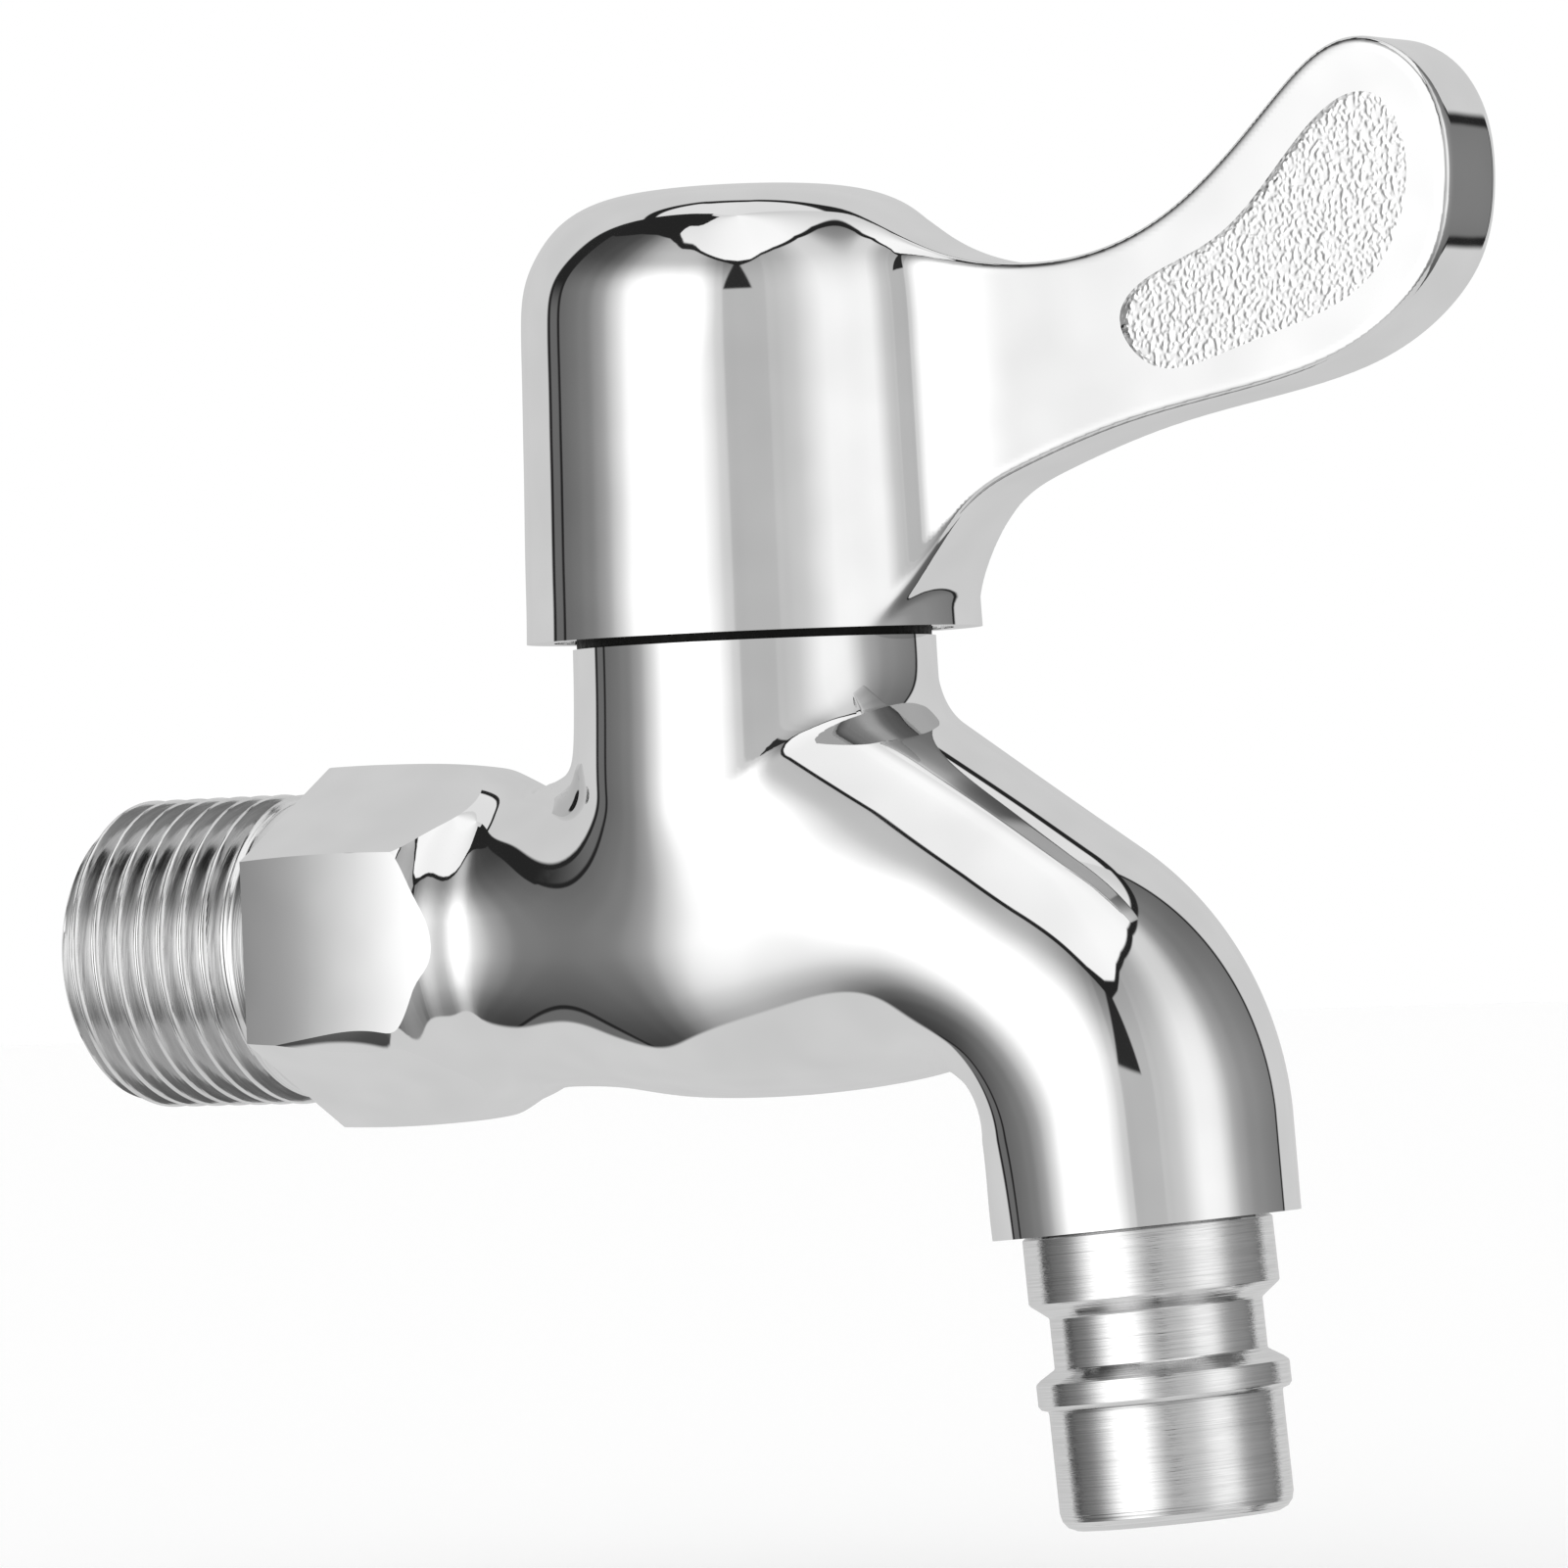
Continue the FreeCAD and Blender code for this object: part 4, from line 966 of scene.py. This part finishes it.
# Textured grip pads in the lever's recesses
grip = {"step": 0.09, "beyond": 0.25, "thick": 0.3, "grain": 0.28, "relief": 0.035, "low": 0.5, "high": 0.62}


def gripTree():
    # Raises worm-like grains on the outer side of a thin plate
    sockets = {"Geometry": ["plate"], "Float": ["grain", "relief", "low", "high", "outerLevel"]}
    tree, given = newTree("gripGrain", sockets)
    place = addNode(tree, "GeometryNodeInputPosition").outputs[0]
    y = addNode(tree, "ShaderNodeSeparateXYZ", {0: place}).outputs["Y"]
    outer = maths(tree, y, ("ABSOLUTE",), ("GREATER_THAN", given["outerLevel"]))
    noise = noiseAt(tree, place, maths(tree, 1.0, ("DIVIDE", given["grain"])), 1.0, 0.4)
    grain = softStep(tree, noise, given["low"], given["high"])
    side = maths(tree, y, ("SIGN",))
    lift = maths(tree, grain, ("MULTIPLY", given["relief"]), ("MULTIPLY", outer), ("MULTIPLY", side))
    offset = addNode(tree, "ShaderNodeCombineXYZ", {"Y": lift}).outputs[0]
    moved = addNode(tree, "GeometryNodeSetPosition", {"Geometry": given["plate"], "Offset": offset})
    closeTree(tree, moved.outputs[0], given["material"])
    return tree


def gripPlate(side):
    # Thin closed plate on the recess floor, a little wider than the recess so that its rim lies in the metal
    loop = splineLoop(handle["recess"], 240, True)
    low, high = loop.min(0) - 1, loop.max(0) + 1
    sheet = sheetField(loop, low - 1, high + 1, 0.2)
    across = [np.arange(low[k], high[k], grip["step"]) for k in (0, 1)]
    nodes = gridOf(across)
    keep = readField(sheet, nodes.reshape(-1, 2))[0].reshape(nodes.shape[:2]) < grip["beyond"]
    floor = handle["bladeHalf"] - handle["recessDepth"] + 0.01
    points, faces = [], []
    number = np.full(keep.shape, -1)
    number[keep] = np.arange(keep.sum())
    cells = np.stack([number[:-1, :-1], number[1:, :-1], number[1:, 1:], number[:-1, 1:]], -1)
    cells = cells[(cells >= 0).all(-1)]
    flat = nodes[keep] + (body["spindleX"], handle["rimZ"])
    for layer, level in enumerate((floor, floor - grip["thick"])):
        points += [(x, side * level, z) for x, z in flat]
        faces += (cells + layer * len(flat)).tolist()
    edges = np.concatenate([cells[:, [k, (k + 1) % 4]] for k in range(4)])
    unique, first, times = np.unique(np.sort(edges, 1), axis=0, return_index=True, return_counts=True)
    faces += [[b, a, a + len(flat), b + len(flat)] for a, b in edges[first[times == 1]]]
    item = closedMesh("gripPlate", points, faces)
    mesh = item.data
    bpy.data.objects.remove(item)
    return mesh


def makeGrip(name, side, material):
    outerLevel = handle["bladeHalf"] - handle["recessDepth"] - grip["thick"] / 2
    values = {"grain": grip["grain"] * mm, "relief": grip["relief"] * mm, "outerLevel": outerLevel * mm,
              "low": grip["low"], "high": grip["high"], "material": material}
    piece = grow(name, gripTree(), values, gripPlate(side))
    shadeSmooth(piece)
    return piece


# Materials: places come from Object coordinates, sizes are real ones in mm
def grainIn(tree, size, stretch, detail):
    # Noise whose grains have the size given, longer along the axes with a low stretch
    place = addNode(tree, "ShaderNodeTexCoord").outputs["Object"]
    scale = [value / (size * mm) for value in stretch]
    scaled = addNode(tree, "ShaderNodeVectorMath", {0: place, 1: scale}, operation="MULTIPLY").outputs[0]
    return noiseAt(tree, scaled, 1.0, detail, 0.5)


def spread(tree, value, low, high):
    # Noise mostly lies between 0.3 and 0.7: stretched over the range given
    return addNode(tree, "ShaderNodeMapRange", {0: value, 1: 0.3, 2: 0.7, 3: low, 4: high}).outputs[0]


def dress(tree, shader, grain, dark, light, metallic, rough, bump):
    # Colour between two tones, roughness over its range and a fine relief, all from one grain
    tones = addNode(tree, "ShaderNodeMix", {"Factor": spread(tree, grain, 0.0, 1.0)}, data_type="RGBA")
    tones.inputs[6].default_value = hexColor(dark)
    tones.inputs[7].default_value = hexColor(light)
    tree.links.new(tones.outputs[2], shader.inputs["Base Color"])
    tree.links.new(spread(tree, grain, *rough), shader.inputs["Roughness"])
    shader.inputs["Metallic"].default_value = metallic
    if bump:
        relief = addNode(tree, "ShaderNodeBump", {"Height": grain, "Distance": bump * mm, "Strength": 1.0})
        tree.links.new(relief.outputs[0], shader.inputs["Normal"])


def finish(name, dark, light, metallic, rough, grainSize, bump, stretch=(1, 1, 1), detail=2.0):
    material, tree, shader = newMaterial(name)
    dress(tree, shader, grainIn(tree, grainSize, stretch, detail), dark, light, metallic, rough, bump)
    return material


def machinedChrome(name, axis, ringSize, bump, rough):
    # Plated metal as the lathe left it: fine rings round the axis, broken up along their length
    material, tree, shader = newMaterial(name)
    breakSize = 6
    place = addNode(tree, "ShaderNodeTexCoord").outputs["Object"]
    far = addNode(tree, "ShaderNodeVectorMath", {0: place, 1: axis}, operation="DOT_PRODUCT").outputs["Value"]
    rings = maths(tree, far, ("DIVIDE", ringSize * mm))
    scale = [1 / (breakSize * mm)] * 3
    slow = addNode(tree, "ShaderNodeVectorMath", {0: place, 1: scale}, operation="MULTIPLY").outputs[0]
    spots = addNode(tree, "ShaderNodeSeparateXYZ", {0: slow}).outputs
    field = addNode(tree, "ShaderNodeCombineXYZ", {0: rings, 1: spots["Y"], 2: spots["Z"]}).outputs[0]
    dress(tree, shader, noiseAt(tree, field, 1.0, 3.0, 0.6), "#bdbdbd", "#d2d2d2", 1.0, rough, bump)
    return material


# bright plating over polished brass: mirror with the faint waves of the polishing wheel
polished = finish("polishedChrome", "#c9c9c9", "#cfcfcf", 1.0, (0.012, 0.04), 5.0, 0.004, detail=1.0)
# the same plating over a grained floor, slightly softer
grained = finish("grainedChrome", "#c4c4c4", "#d0d0d0", 1.0, (0.05, 0.14), 0.4, 0.0)
# plated thread as it was cut: tool rings blur what the flanks reflect
threadMetal = machinedChrome("threadChrome", (1, 0, 0), 0.16, 0.02, (0.08, 0.22))
# plated turned nipple: brighter, its fine rings draw the reflections out along its axis
nippleMetal = machinedChrome("turnedChrome", spoutTip()[1].tolist(), 0.11, 0.03, (0.015, 0.05))
# painted shade: near-black metal in the groove under the handle's rim, standing in for the shadow of the gap
# there
paintedShadeMetal = finish("paintedShadeGroove", "#0c0c0c", "#1a1917", 0.6, (0.5, 0.7), 0.5, 0.0)
# bare turned brass of the headwork: warm yellow, dull along the tool rings
brass = finish("turnedBrass", "#b08a48", "#d2b06c", 1.0, (0.22, 0.38), 0.5, 0.004, (1, 1, 8))
spindleBrass = finish("spindleBrass", "#ab8444", "#ccab66", 1.0, (0.2, 0.34), 0.5, 0.003, (1, 1, 8))
# black rubber with a little bloom
rubber = finish("nitrileRubber", "#161616", "#262524", 0.0, (0.5, 0.7), 0.6, 0.01)
# ground alumina: off-white, fine and close
ceramic = finish("aluminaCeramic", "#e6e0d3", "#f1ece2", 0.0, (0.18, 0.32), 0.15, 0.001)
# natural acetal: milky white, satin
acetal = finish("acetalPlastic", "#dcdad2", "#eeece6", 0.0, (0.35, 0.5), 1.2, 0.004)
# stainless fixings: grey, drawn finish
steel = finish("stainlessSteel", "#8e8f91", "#b4b5b7", 1.0, (0.2, 0.36), 0.4, 0.003, (1, 1, 6))
# polished cap over the screw: as bright as the handle round it
coverMetal = finish("coverChrome", "#c9c9c9", "#cfcfcf", 1.0, (0.02, 0.05), 4.0, 0.003, detail=1.0)

nodeFinish = {
    "tap_body": polished, "outlet_nipple": nippleMetal, "nipple_washer": rubber, "cartridge_housing": brass,
    "cartridge_gasket": rubber, "seat_seal": rubber, "fixed_disc": ceramic, "moving_disc": ceramic,
    "spindle": spindleBrass, "spindle_ring_lower": rubber, "spindle_ring_upper": rubber,
    "thrust_washer": acetal, "circlip": steel, "lever_handle": polished, "spline_bush": acetal,
    "spring_washer": steel, "handle_screw": steel, "screw_cover": coverMetal,
}
for name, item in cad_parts.items():
    item.data.materials.clear()
    item.data.materials.append(nodeFinish[name])
print("materials ready")


def handOver(piece, ride, slot, node, *materials):
    # The body a finished piece moves with, its colour slot, which is not used, and the solid it stands for
    # popped one by one, because clear() would also set the slot number of every face back
    while len(piece.data.materials):
        piece.data.materials.pop()
    for material in materials:
        piece.data.materials.append(material)
    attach(piece, ride)
    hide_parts(node)
    print(piece.name, len(piece.data.polygons), "faces")


# the body's second material is the painted shade in the groove under the handle's rim
handOver(makeBody(), "tap", "body_chrome", "tap_body", polished, paintedShadeMetal)
handOver(makeThread(threadMetal), "tap", "body_chrome", "tap_body", threadMetal)
handOver(makeNipple(), "tap", "nipple_chrome", "outlet_nipple", nippleMetal)
handOver(makeHandle(), "handle", "handle_chrome", "lever_handle", polished)
handOver(makeGrip("gripFront", -1, grained), "handle", "handle_chrome", "lever_handle", grained)
handOver(makeGrip("gripBack", 1, grained), "handle", "handle_chrome", "lever_handle", grained)
